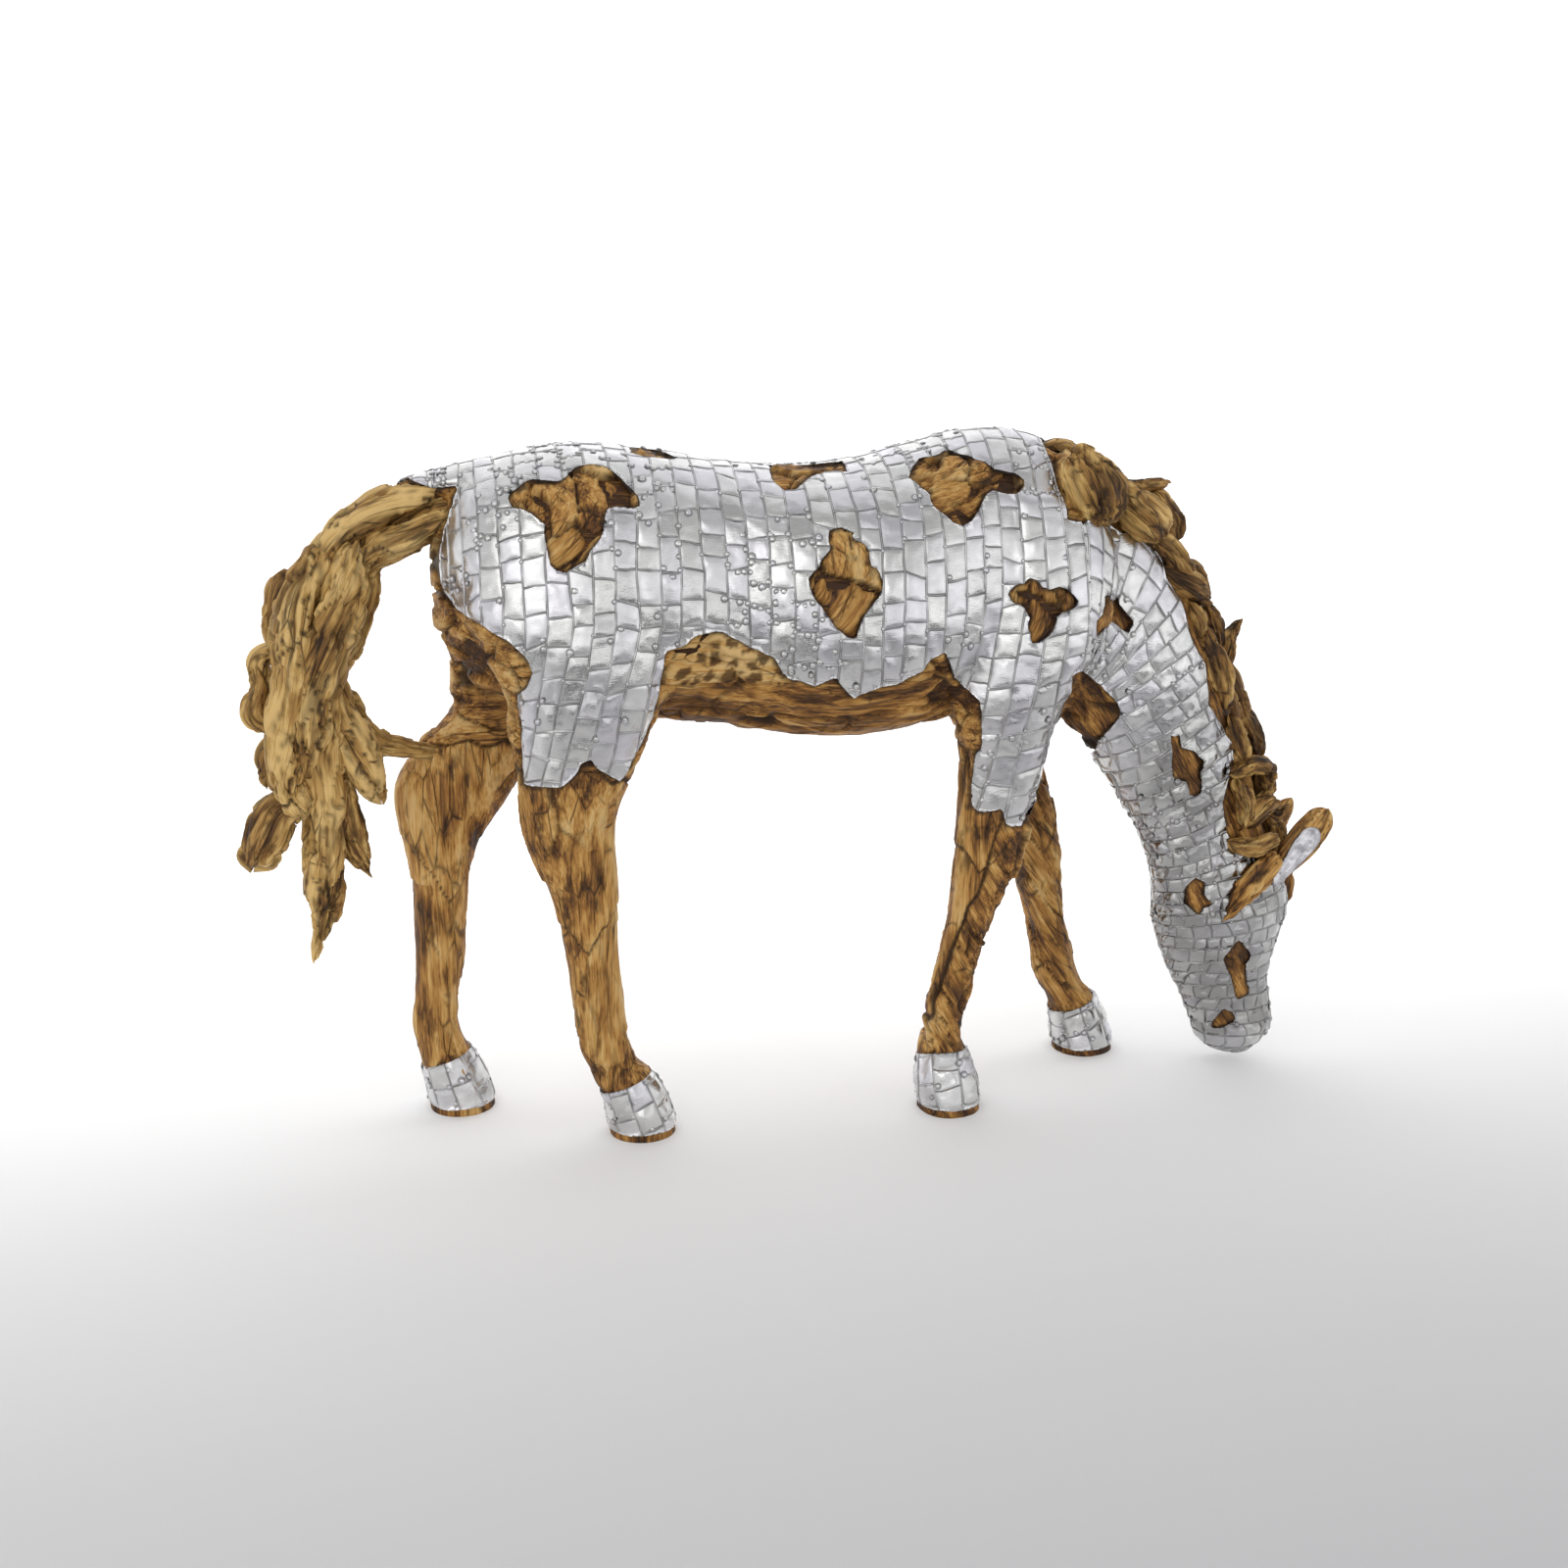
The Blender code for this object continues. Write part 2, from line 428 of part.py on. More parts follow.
def body_form():
    """The whole horse as one skin: limbs that run into each other, blended and thinned to few faces."""
    limbs = [torso(), tail_head(), neck_and_head()]
    for name, rows in LEGS.items():
        limbs.append(leg(name + "_leg", rows))
        limbs.append(hoof(name + "_hoof", *HOOVES[name]))
    joined = bmesh.new()
    for limb in limbs:
        joined.from_mesh(limb.data)
        bpy.data.objects.remove(limb)
    data = bpy.data.meshes.new("wood_body")
    joined.to_mesh(data)
    joined.free()
    made = link("wood_body", data)
    remesh = made.modifiers.new("one skin", "REMESH")
    remesh.mode = "VOXEL"
    remesh.voxel_size = BODY_VOXEL
    smooth = made.modifiers.new("blend limbs", "SMOOTH")
    smooth.factor = 0.5
    smooth.iterations = BODY_SMOOTHING
    settle(made)
    thin = made.modifiers.new("fewer faces", "DECIMATE")
    thin.ratio = BODY_TRIANGLES / (2 * len(made.data.polygons))
    thin.use_collapse_triangulate = True
    relax = made.modifiers.new("open folds", "SMOOTH")
    relax.factor = FOLD_RELAX
    relax.iterations = 1
    return settle(made)


def grown(made, distance):
    """A copy of an object with each face moved out by the distance."""
    mesh = bmesh.new()
    mesh.from_mesh(made.data)
    bmesh.ops.triangulate(mesh, faces=mesh.faces)
    moves = [vertex.normal * distance * vertex.calc_shell_factor() for vertex in mesh.verts]
    for vertex, move in zip(mesh.verts, moves):
        vertex.co += move
    data = bpy.data.meshes.new(made.name + "_grown")
    mesh.to_mesh(data)
    mesh.free()
    return link(made.name + "_grown", data)


def combine(made, operation, others):
    """Cut an object by others, join them to it or keep what they share, with exact Booleans."""
    for other in others:
        cut = made.modifiers.new(operation.lower(), "BOOLEAN")
        cut.solver = "EXACT"
        cut.operation = operation
        cut.object = other
    settle(made)
    for other in others:
        bpy.data.objects.remove(other)
    return made


def side_prism(name, outline, y_from, y_to, holes=()):
    """A side-view outline, x and z, pushed across the horse from y_from to y_to."""
    curve = bpy.data.curves.new(name, "CURVE")
    curve.dimensions = "2D"
    curve.fill_mode = "BOTH"
    curve.extrude = (y_to - y_from) / 2
    for points in (outline, *holes):
        spline = curve.splines.new("POLY")
        spline.points.add(len(points) - 1)
        for point, (x, z) in zip(spline.points, points):
            point.co = (x * PART, z * PART, 0, 1)
        spline.use_cyclic_u = True
    flat = link(name, curve)
    data = evaluated_mesh(flat)
    bpy.data.objects.remove(flat)
    welded = bmesh.new()
    welded.from_mesh(data)
    bmesh.ops.remove_doubles(welded, verts=welded.verts, dist=0.0001)
    bmesh.ops.recalc_face_normals(welded, faces=welded.faces)
    welded.to_mesh(data)
    welded.free()
    data.transform(Matrix.Translation((0, (y_from + y_to) / 2, 0)) @ Matrix.Rotation(math.pi / 2, 4, "X"))
    return link(name, data)


def sheet_over(form, name, region):
    """Sheet steel laid over a form, where the region reaches."""
    sheet = grown(form, FIT_GAP + SHEET_THICKNESS)
    sheet.name = name
    combine(sheet, "INTERSECT", [region])
    return combine(sheet, "DIFFERENCE", [grown(form, FIT_GAP)])


def both_sides(near_outline, far_outline, near_holes=(), far_holes=()):
    near = side_prism("near_region", near_outline, -HALF_ROOM, MIDLINE_LAP, near_holes)
    far = side_prism("far_region", far_outline, -MIDLINE_LAP, HALF_ROOM, far_holes)
    return combine(near, "UNION", [far])


def steel_cladding(form):
    """One riveted skin over rump, back, barrel, shoulders, neck and head, open where the wood shows."""
    region = both_sides(NEAR_STEEL, FAR_STEEL, NEAR_PATCHES.values(), FAR_PATCHES.values())
    return sheet_over(form, "steel_cladding", region)


def widened(outline, by):
    """An outline with each of its sides moved outwards."""
    points = np.array(outline, float)
    ahead = np.roll(points, -1, axis=0) - points
    turns = ahead[:, 0] * np.roll(ahead[:, 1], -1) - ahead[:, 1] * np.roll(ahead[:, 0], -1)
    ahead /= np.linalg.norm(ahead, axis=1, keepdims=True)
    outward = np.column_stack((ahead[:, 1], -ahead[:, 0])) * np.sign(turns.sum())
    corner = outward + np.roll(outward, 1, axis=0)
    corner /= np.linalg.norm(corner, axis=1, keepdims=True)
    return points + corner * by / np.maximum((corner * outward).sum(axis=1, keepdims=True), 0.4)


def cladding_room(form):
    """The space that the cladding takes with the gap around it, for cutting what is laid over it."""
    region = both_sides(widened(NEAR_STEEL, FIT_GAP / PART), widened(FAR_STEEL, FIT_GAP / PART))
    return combine(grown(form, 2 * FIT_GAP + SHEET_THICKNESS), "INTERSECT", [region])


def hoof_steel(form, name):
    """A cuff round one hoof, up from the bare sole band to an edge that climbs towards the toe."""
    sole_x, sole_y, toe_degrees = HOOVES[name]
    band = SOLE_BAND / PART
    reach = CUFF_REACH
    outline = [(-reach, band), (reach, band), (reach, CUFF_TOP + CUFF_CLIMB * reach),
               (-reach, CUFF_TOP - CUFF_CLIMB * reach)]
    region = side_prism("cuff_region", outline, -reach * PART, reach * PART)
    region.data.transform(Matrix.Translation((sole_x * PART, sole_y * PART, 0))
                          @ Matrix.Rotation(math.radians(toe_degrees), 4, "Z"))
    return sheet_over(form, "hoof_steel_" + name, region)


def root_piece(name, path, sides, lumps):
    """A knobbly length of root wood: uneven oval sections along a path."""
    rows = smooth_rows(path, len(path) + 1) * PART
    phase = sum(ord(letter) for letter in name)
    rings = []
    for k, (x, y, z, half_width, half_depth) in enumerate(rows):
        ahead = Vector(rows[min(k + 1, len(rows) - 1)][:3]) - Vector(rows[max(k - 1, 0)][:3])
        across = ahead.cross(Vector((0, 1, 0))).normalized()
        outward = across.cross(ahead).normalized()
        ring = []
        for i in range(sides):
            turn = 2 * math.pi * i / sides
            lump = 1 + lumps * math.sin(2 * turn + 1.9 * k + phase) * math.cos(turn + 0.7 * k)
            ring.append(Vector((x, y, z)) + across * half_width * lump * math.cos(turn)
                        + outward * half_depth * lump * math.sin(turn))
        rings.append(ring)
    return loft(name, rings)


def largest_part(made):
    """Keep only the biggest of an object's separate bodies."""
    mesh = bmesh.new()
    mesh.from_mesh(made.data)
    left = set(mesh.faces)
    parts = []
    while left:
        found = [left.pop()]
        for face in found:
            for edge in face.edges:
                for neighbour in edge.link_faces:
                    if neighbour in left:
                        left.remove(neighbour)
                        found.append(neighbour)
        parts.append(found)
    biggest = max(parts, key=lambda faces: sum(face.calc_area() for face in faces))
    kept = set(biggest)
    bmesh.ops.delete(mesh, geom=[face for face in mesh.faces if face not in kept], context="FACES")
    mesh.to_mesh(made.data)
    mesh.free()
    return made


def fitted(piece, cutters):
    """Cut a piece to sit against everything already there."""
    near_by = [grown(cutter, 0) for cutter in cutters if boxes_meet(piece, cutter)]
    return largest_part(combine(piece, "DIFFERENCE", near_by))


def fitted_roots(tables, cutters, sides=ROOT_SIDES, lumps=ROOT_LUMPS):
    """Root-wood pieces laid on in order, each against the ones before it."""
    made = []
    for name, path in tables.items():
        piece = root_piece(name, path, sides, lumps)
        own_cutter = grown(piece, FIT_GAP)
        made.append(fitted(piece, cutters))
        cutters.append(own_cutter)
    return made


def ear_plate_on(cutters):
    """The steel plate that lines the near ear's outer face: the ear's own form, narrower and moved out."""
    path = [(x, y - SHEET_THICKNESS / PART, z, half_width * EAR_PLATE_SHARE, half_depth)
            for x, y, z, half_width, half_depth in EARS["ear_near"]]
    return fitted_roots({"ear_plate": path[1:]}, cutters, EAR_SIDES, 0)[0]


def boxes_meet(one, other):
    spans = []
    for thing in (one, other):
        points = np.array([v.co for v in thing.data.vertices])
        spans.append((points.min(0) - FIT_GAP, points.max(0) + FIT_GAP))
    return bool(np.all(spans[0][0] <= spans[1][1]) and np.all(spans[1][0] <= spans[0][1]))


def flat_soles(form):
    """Cut the hooves off level with the floor."""
    bpy.ops.mesh.primitive_cube_add(size=2 * HALF_ROOM)
    ground = bpy.context.object
    ground.data.transform(Matrix.Scale(2, 4, (1, 0, 0)) @ Matrix.Translation((0, 0, -HALF_ROOM)))
    return combine(form, "DIFFERENCE", [ground])


def centre_on_floor(things):
    """Move the finished figure so that its footprint's middle is at the origin."""
    points = np.array([v.co for thing in things for v in thing.data.vertices])
    low, high = points.min(0), points.max(0)
    shift = Matrix.Translation((-(low[0] + high[0]) / 2, -(low[1] + high[1]) / 2, -low[2]))
    for thing in things:
        thing.data.transform(shift)


def dress(things, finish):
    """Give each piece its material, with its hard edges kept hard."""
    for thing in things:
        thing.data.materials.clear()
        thing.data.materials.append(finish)
        thing.data.shade_smooth()
        thing.data.set_sharp_from_angle(angle=math.radians(40))


def main():
    for old in list(bpy.data.objects):
        bpy.data.objects.remove(old)
    form = body_form()
    cladding = steel_cladding(form)
    cuffs = [hoof_steel(form, name) for name in HOOVES]
    cutters = [grown(form, 0), grown(form, FIT_GAP), cladding_room(form)]
    wood = flat_soles(form)
    ears = fitted_roots(EARS, cutters, EAR_SIDES, 0)
    ear_plate = ear_plate_on(cutters)
    tail = fitted_roots(TAIL, cutters)
    mane = fitted_roots(MANE, cutters)
    for cutter in cutters:
        bpy.data.objects.remove(cutter)
    steel_pieces = [cladding, ear_plate] + cuffs
    dress([wood], material("root wood", WOOD, 0, 0.45))
    dress(tail + mane + ears, material("pale root wood", PALE_WOOD, 0, 0.5))
    dress(steel_pieces, material("riveted steel", STEEL, 1, 0.25))
    figure = [wood] + tail + mane + ears + steel_pieces
    centre_on_floor(figure)
    collection = bpy.data.collections.new("metal_horse")
    bpy.context.scene.collection.children.link(collection)
    for thing in figure:
        bpy.context.scene.collection.objects.unlink(thing)
        collection.objects.link(thing)


main()
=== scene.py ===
"""Looks of the grazing horse: root-wood body, riveted steel tiles, driftwood mane and tail.

The design's own coordinates are in centimetres, with the origin on the floor under the middle of the
back, +X the way the horse faces and +Z up. Its near side, which the camera sees, is at -Y. SHIFT moves
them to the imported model's frame.
"""
import math

import bmesh
import bpy
import numpy as np
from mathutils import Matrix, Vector
from mathutils.bvhtree import BVHTree

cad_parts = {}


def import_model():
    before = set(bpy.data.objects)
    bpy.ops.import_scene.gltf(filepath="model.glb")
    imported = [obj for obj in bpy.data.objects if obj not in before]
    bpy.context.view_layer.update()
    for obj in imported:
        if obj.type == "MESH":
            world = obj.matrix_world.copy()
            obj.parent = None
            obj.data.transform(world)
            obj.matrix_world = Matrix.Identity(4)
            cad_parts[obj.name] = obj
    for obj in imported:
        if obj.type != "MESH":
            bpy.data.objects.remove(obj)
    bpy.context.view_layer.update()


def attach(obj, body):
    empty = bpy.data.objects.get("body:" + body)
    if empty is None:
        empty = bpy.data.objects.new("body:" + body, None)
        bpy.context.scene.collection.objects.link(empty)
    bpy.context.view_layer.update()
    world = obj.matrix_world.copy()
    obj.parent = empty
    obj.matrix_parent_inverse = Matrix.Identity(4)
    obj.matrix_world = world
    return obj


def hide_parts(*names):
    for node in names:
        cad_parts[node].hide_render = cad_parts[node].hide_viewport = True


CM = 0.01
SHIFT = np.array([-0.0581, -0.0008, 0.0])    # from the design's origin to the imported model's
FAR_AWAY = 9.0          # further than anything reaches

VOXEL = 0.0062          # the carved skin's fineness
SKIN_SMOOTHING = 40
CORE_VOXEL = 0.014      # the plain body behind the carved skin and the sheet
CORE_SMOOTHING = 8
CORE_DEPTH = 0.011
UNDER_SHEET = 0.02      # the carved skin runs this far in under the sheet

# Rings along each form and points round a ring
TORSO_GRID = (80, 64)
DOCK_GRID = (16, 24)
NECK_GRID = (110, 56)
LEG_GRID = (90, 40)
HOOF_GRID = (20, 40)
TORSO_FULLNESS = 0.92   # below 1 a section is fuller than an ellipse
NECK_FULLNESS = 0.88

TILE_WIDTH = 0.0448
TILE_HEIGHT = 0.0545
TILE_LENGTHS = (0.72, 1.3)          # shortest and longest tile, as shares of its row's usual length
TILT = 0.003            # how far a tile's end leans along its strip
PUFF = (-0.0008, 0.002)             # how far a tile's middle sinks or swells
SLOPE = 0.0018          # how far a tile's face leans
DENT = 0.0013           # depth of the dents in a tile's face
DENT_SIZE = 0.026
CRINKLE = 1.7           # tiles are rougher by this share low on the horse
CRINKLE_FROM = 1.3      # from this height
CRINKLE_TO = 0.95       # down to this one
WAIST = -22             # where the rump's sheet meets the barrel's, in x
SHEET = 0.0036          # how far the tiles' faces stand off the wood
BEAD = 0.0014           # height of a weld seam over the tiles
SKIRT = 0.009           # how deep a sheet's cut edge reaches
EDGE_BEND = 0.008       # a sheet bends down to the wood over this width along its edge
SHEET_LAP = 0.002       # trunk and neck sheets run this far past the line where they meet
LEAP = 0.07             # neighbouring points of one chart lie closer than this
RAGGED = 0.003          # how far a hand-cut edge strays
RAG_LENGTH = 0.02       # and over what length
CREST_BAND = 0.12       # this far from the crest, each side keeps to its own half
MIDLINE_LAP = 0.001     # but for this much over the midline
INNER_LEG = (0.125, 0.97, 0.6)      # steel within this y, below this z and behind this x is left off

# The head's tiles are smaller
HEAD_LENGTH = 0.85      # measured along the neck's chart, from its end
HEAD_FADE = 0.4         # from its start they shrink over this length, by this much
NARROWER = 0.01
SHORTER = 0.015

RIVET = 0.0056          # a rivet head's radius
WELD_DOT = 0.0034       # radius of the drops of weld at tile corners
WELD_DOT_SHARE = 0.5    # the share of tiles that have one
RIVET_GRIP = 1.3        # a rivet keeps this many radii from a sheet's edge
# Where rivets may sit on a tile, as shares across and along it
RIVET_SPOTS = [(0.14, 0.12), (0.86, 0.14), (0.13, 0.87), (0.86, 0.88), (0.5, 0.12), (0.15, 0.5),
               (0.84, 0.52)]
SPOT_STRAY = 0.04
DOME_SIDES = 8
DOME_RINGS = ((1.42, 0.02), (1.02, 0.03), (0.86, 0.3), (0.5, 0.5))    # out and up, in radii
DOME_TOP = 0.56
# How dark each ring is: painted shade and dirt round the dome's foot
DOME_SHADE_AND_DIRT = [0.3, 1.0, 0.35, 0.05]    # how dark each ring is

SOLE_BAND = 0.0166      # bare wood under each hoof's steel
CUFF_TOP = 13.2         # height of a cuff over the middle of its hoof
CUFF_CLIMB = 0.32       # and how much higher for each unit towards the toe
CUFF_STRIPS = 8
CUFF_TILE = 0.055
CUFF_RIVETS = 0.2       # the chance of a rivet at each spot
HOOF_RADIUS = 0.066     # turns an angle round a hoof into a length
HOOF_REACH = 0.2        # how far up and out a hoof's skin is looked for
PASTERN_LEAN = 0.3      # how fast its axis leans back, from PASTERN_FROM up
PASTERN_FROM = 0.02

# Rays that find the outer skin, round each section line
ROWS_BETWEEN = 6        # rows of rays from one section line of the tables to the next
FAN = 186               # degrees either way from the crest
FLANK = 75              # the ray whose hits measure lengths along the horse
LEAN_FROM = 114         # below this height a section line leans back
LEAN_OVER = 30          # by its whole lean over this height

# Across a weld seam: distance from its crest, height in beads, and how dark it is, as painted shade and dirt
# in the groove beside the bead
SEAM_PLACES = (0, 0.0009, 0.0018, 0.0033)
SEAM_HEIGHTS = (1, 0.35, -0.5, -0.1)
SEAM_SHADE_AND_DIRT = (0.1, 0.75, 1, 0.06)
FACE_SHARES = (0.22, 0.5, 0.78)     # lines across a tile's face, as shares of the tile

TRUNK_REACH = 0.9       # how far out the rays round the trunk and the neck begin
NECK_REACH = 0.4
RELIEF = 0.009          # the carving's greatest height
HOOF_TOP = 0.15         # below this the wood is nearly plain
PATCHES_ABOVE = 1.01    # wood above this height lies in the sheet's patches
HIND_END = -0.3         # the front of the near thigh, in x
SPOT_SIZE = 0.03        # the leopard-like spots of the flank
ROOT_STEP = 0.0045      # from ring to ring of a root piece
ROOT_SIDES = 40
PLATE_WIDTH = 0.62      # of the ear, and its thickness in metres
PLATE_THICKNESS = 0.006
TAIL_TONE = 0.14        # how much paler than its carving a piece is, or darker below 0
MANE_TONE = -0.03
LOW_MANE_TONE = -0.14
LOW_MANE = 80           # the mane is darker in front of this x

STEEL_GREYS = [(0, (0.6, 0.6, 0.6)), (0.3, (0.71, 0.71, 0.7)), (0.6, (0.68, 0.67, 0.71)),
               (1, (0.8, 0.8, 0.8))]
CLOUDED_STEEL = (0.52, 0.52, 0.52)
# Colour of dull steel; where the steel faces down, this darkening is painted shade
DULL_AND_SHADED_STEEL = (0.15, 0.143, 0.135)
# Colour of the painted shade and dirt beside the seams, round the rivets and at cut edges
SHADE_AND_DIRT_COLOUR = (0.06, 0.056, 0.052)
GOLDEN = [(0.0, (0.045, 0.018, 0.006)), (0.3, (0.185, 0.08, 0.018)), (0.5, (0.37, 0.177, 0.041)),
          (0.72, (0.53, 0.3, 0.088)), (1.0, (0.64, 0.43, 0.18))]
DRIFTWOOD = [(0.0, (0.03, 0.014, 0.005)), (0.3, (0.15, 0.07, 0.018)), (0.52, (0.31, 0.165, 0.045)),
             (0.75, (0.49, 0.295, 0.09)), (1.0, (0.68, 0.46, 0.18))]

# The sky's brightness, from straight down at 0 to straight up at 1
SKY = [(0.34, 0.04), (0.385, 1.3), (0.5, 1.25), (0.61, 0.75), (0.74, 0.85), (0.9, 0.5)]
SKY_STRENGTH = 0.95
# Lights: name, place, the point they face, size, power, colour
LIGHTS = [
    ("key", (-2.4, -4.2, 3.7), (-0.1, 0, 0.9), (5.0, 3.6), 56, (1.0, 0.99, 0.97)),
    ("fill", (3.0, -2.8, 2.0), (0.2, 0, 0.8), (3.0, 2.4), 7, (0.96, 0.97, 1.0)),
    ("top", (0.0, 0.6, 3.8), (0, 0, 0.8), (5.0, 2.4), 18, (0.97, 0.97, 1.0)),
    ("backdrop", (0.0, 1.2, 3.4), (0, 3.8, 1.6), (9.0, 1.2), 110, (1.0, 1.0, 1.0)),
]
LENS = 41.55
CAMERA_AT = (-0.7980, -3.7030, 1.7235)
CAMERA_AIM = (-0.0025, 0, 0.7385)

# Torso stations from rump to breast: x, top, bottom, half width, height of the widest line
TORSO = [
    (-72.3, 128.3, 110.3, 4, 119.3), (-70, 135.8, 104.3, 11, 121.3), (-63, 142.9, 98.3, 18, 122.3),
    (-53, 145.9, 95.3, 22.5, 122.3), (-42, 146.9, 92.3, 24.5, 120.3), (-28, 145.5, 90.5, 23, 117.3),
    (-15, 143.2, 88.6, 22.5, 114.3), (0, 141.8, 86, 25.5, 112.3), (13, 142.8, 85.2, 26.5, 111.3),
    (26, 145.8, 86.3, 25, 112.3), (36, 148.3, 88.9, 22, 114.3), (46, 148.8, 88.3, 19, 116.3),
    (56, 146.3, 88.3, 17.5, 116.3), (65, 140.3, 89.3, 14.5, 114.3), (72, 129.3, 95.3, 9, 111.3),
]

# Dock stations from croup to tip: x, z, half height, half width
TAIL_HEAD = [
    (-56, 140.8, 4, 6), (-64, 140.2, 3.6, 6), (-71, 139.3, 2.8, 5), (-76, 138.8, 2.2, 4),
    (-79.5, 138.3, 1.4, 2.6),
]

# Neck and head: crest point x, z, throat point x, z, half width
NECK = [
    (46, 144.3, 56, 94.3, 13), (62, 141.8, 62, 87.3, 13.5), (76, 132.3, 67.5, 80.8, 12.5),
    (88, 118.8, 72.5, 73.3, 11.5), (97, 103.3, 77.2, 66.3, 10.5), (103.5, 87.3, 81.3, 59.9, 9.5),
    (108, 71.3, 84, 53.5, 9), (112, 58.4, 85.8, 47.7, 9), (116.2, 48.6, 86.3, 41.3, 10),
    (119.4, 39.9, 86.8, 36.5, 10), (117.3, 31.1, 89, 29.7, 8.5), (115.8, 23.8, 91.8, 23.3, 7),
    (116.4, 17, 95, 17.5, 6.5), (117.6, 10.7, 97.4, 11.5, 6.6), (115.8, 6.3, 99.6, 6.8, 6),
    (111, 3.7, 104.7, 3.3, 3.6),
]

# Legs, from inside the body down to the pastern: x, y, z, half depth, half width
LEGS = {
    "near_hind": [(-46, -11, 128.3, 21, 11), (-46, -14, 114.3, 21, 11.5), (-43.5, -15, 102.3, 17, 10.5),
        (-44.6, -14.5, 92.3, 14.6, 9), (-46.3, -13, 82.3, 12.2, 7.5), (-48.2, -11.5, 71.3, 9.6, 6.5),
        (-46.6, -10.8, 62.4, 7.9, 5.8), (-44.9, -10.3, 54.5, 6.4, 5.1), (-44.1, -10, 46.7, 5.8, 4.8),
        (-43.3, -9.5, 37, 5.3, 4.5), (-42.4, -9, 26.3, 5.1, 4.5), (-41.4, -8.8, 20.4, 5.9, 4.9),
        (-39.6, -8.6, 15.1, 5.4, 4.6), (-38.4, -8.5, 10.7, 5.2, 4.8)],
    "far_hind": [(-50, 11, 128.3, 20, 11), (-51.5, 14, 112.3, 18.5, 11.5), (-54, 15, 99.3, 15, 10.5),
        (-57.5, 14.5, 91.3, 13, 9), (-63.8, 13.5, 83.3, 13.2, 7.6), (-69.2, 13, 74.8, 12.8, 6.7),
        (-72.2, 13, 65.8, 9.4, 6.1), (-73.6, 13, 58.4, 7, 5.6), (-74.2, 13, 48.6, 6.2, 4.9),
        (-75, 13, 37, 5.6, 4.5), (-76.1, 13, 26.3, 4.9, 4.4), (-76.4, 13, 19.9, 5.3, 4.7),
        (-74.6, 13, 14.6, 5.3, 4.5), (-73.2, 13, 10.7, 5.2, 4.8)],
    "near_fore": [(50, -10, 136.3, 13, 7), (52, -13.5, 122.3, 16, 8.5), (51.5, -15, 108.3, 14.5, 9),
        (46, -15, 95.3, 12.3, 8.5), (44.5, -14, 86.3, 10.4, 7.4), (44.6, -13.2, 78.3, 9.1, 6.6),
        (43.5, -12.6, 67.3, 8.1, 6), (42.1, -12, 57.4, 7.4, 5.4), (39.9, -11.5, 48.1, 5.9, 4.8),
        (37.3, -11, 37.4, 5, 4.4), (35.2, -10.6, 29.2, 4.7, 4.5), (34.1, -10.4, 23.8, 5, 4.8),
        (34.3, -10.2, 17.5, 3.7, 4.3), (34.9, -10, 11.7, 4.1, 4.5)],
    "far_fore": [(50, 10, 136.3, 13, 7), (51, 13.5, 122.3, 15.5, 8.5), (49.5, 15, 108.3, 13.5, 9),
        (46.5, 15, 96.3, 11.3, 8.5), (48.5, 14.5, 88.3, 9.6, 7.6), (51.5, 14, 80.3, 8.4, 6.8),
        (55, 14, 72.3, 7.7, 6.3), (58.6, 14, 63.4, 7.2, 5.8), (61.6, 14, 52.5, 6.5, 5.2),
        (64.2, 14.2, 43.3, 5.1, 4.6), (66, 14.5, 35, 4.5, 4.3), (67.8, 14.8, 26.3, 4.5, 4.6),
        (69.4, 15, 19.9, 5.1, 4.6), (72, 15.2, 14.1, 4.8, 4.6)],
}

# Hooves: sole centre x, y, and the way the toe points, in degrees from +X towards +Y
HOOVES = {
    "near_hind": (-33.7, -8.5, -8),
    "far_hind": (-71.5, 13, -6),
    "near_fore": (35.1, -10.5, -78),
    "far_fore": (76.9, 15.5, 0),
}

# Hoof rings: z, shift towards the toe, half length, half width
HOOF_RINGS = [
    (15.5, -4.4, 5.2, 4.9), (11.5, -2.4, 6.2, 6), (6, -0.8, 7, 6.8), (1.5, 0, 7.2, 7), (-3, 0.2, 7.3, 7.1),
]

FAR_STEEL = [
    (-83, 138.2), (-72.5, 138.7), (-65.5, 139.3), (-68, 135.3), (-70, 130), (-71, 122), (-69, 115),
    (-67, 107), (-67.5, 98), (-69, 90), (-69.5, 84), (-67, 80), (-61, 80.3), (-56, 77.8), (-50, 85.3),
    (-38, 99.3), (-32, 106.3), (-25, 108.3), (-10, 101.3), (9, 100.3), (18, 97.8), (27, 100.3), (34, 96.3),
    (42, 84.3), (50, 80.3), (63, 79.3), (64.5, 90.3), (64, 97), (68.6, 93.3), (73, 88.9), (73.4, 85.3),
    (65, 77.3), (81, 51.5), (82.5, 37.9), (90, 16.5), (98, 0), (112, -2), (123.5, 2.9), (122.3, 21.4),
    (127, 42.8), (116, 51.5), (106, 53.5), (101, 62.4), (101, 72.3), (94, 92.3), (87, 107.3), (75, 125.3),
    (66, 130.3), (57, 132.3), (56.2, 145.3), (63, 157.3), (-83, 157.3),
]

FAR_PATCHES = {
    "rump": [(-60, 132.3), (-52, 136.3), (-44, 133.3), (-42, 126.3), (-50, 120.3)],
    "barrel": [(-8, 124.3), (-1, 128.3), (8, 125.3), (10, 117.3), (2, 110.3)],
    "shoulder": [(44, 114.3), (50, 117.3), (55, 112.3), (49, 105.3)],
    "neck": [(80, 90.3), (84, 93.3), (88, 86.3), (83, 80.3)],
}

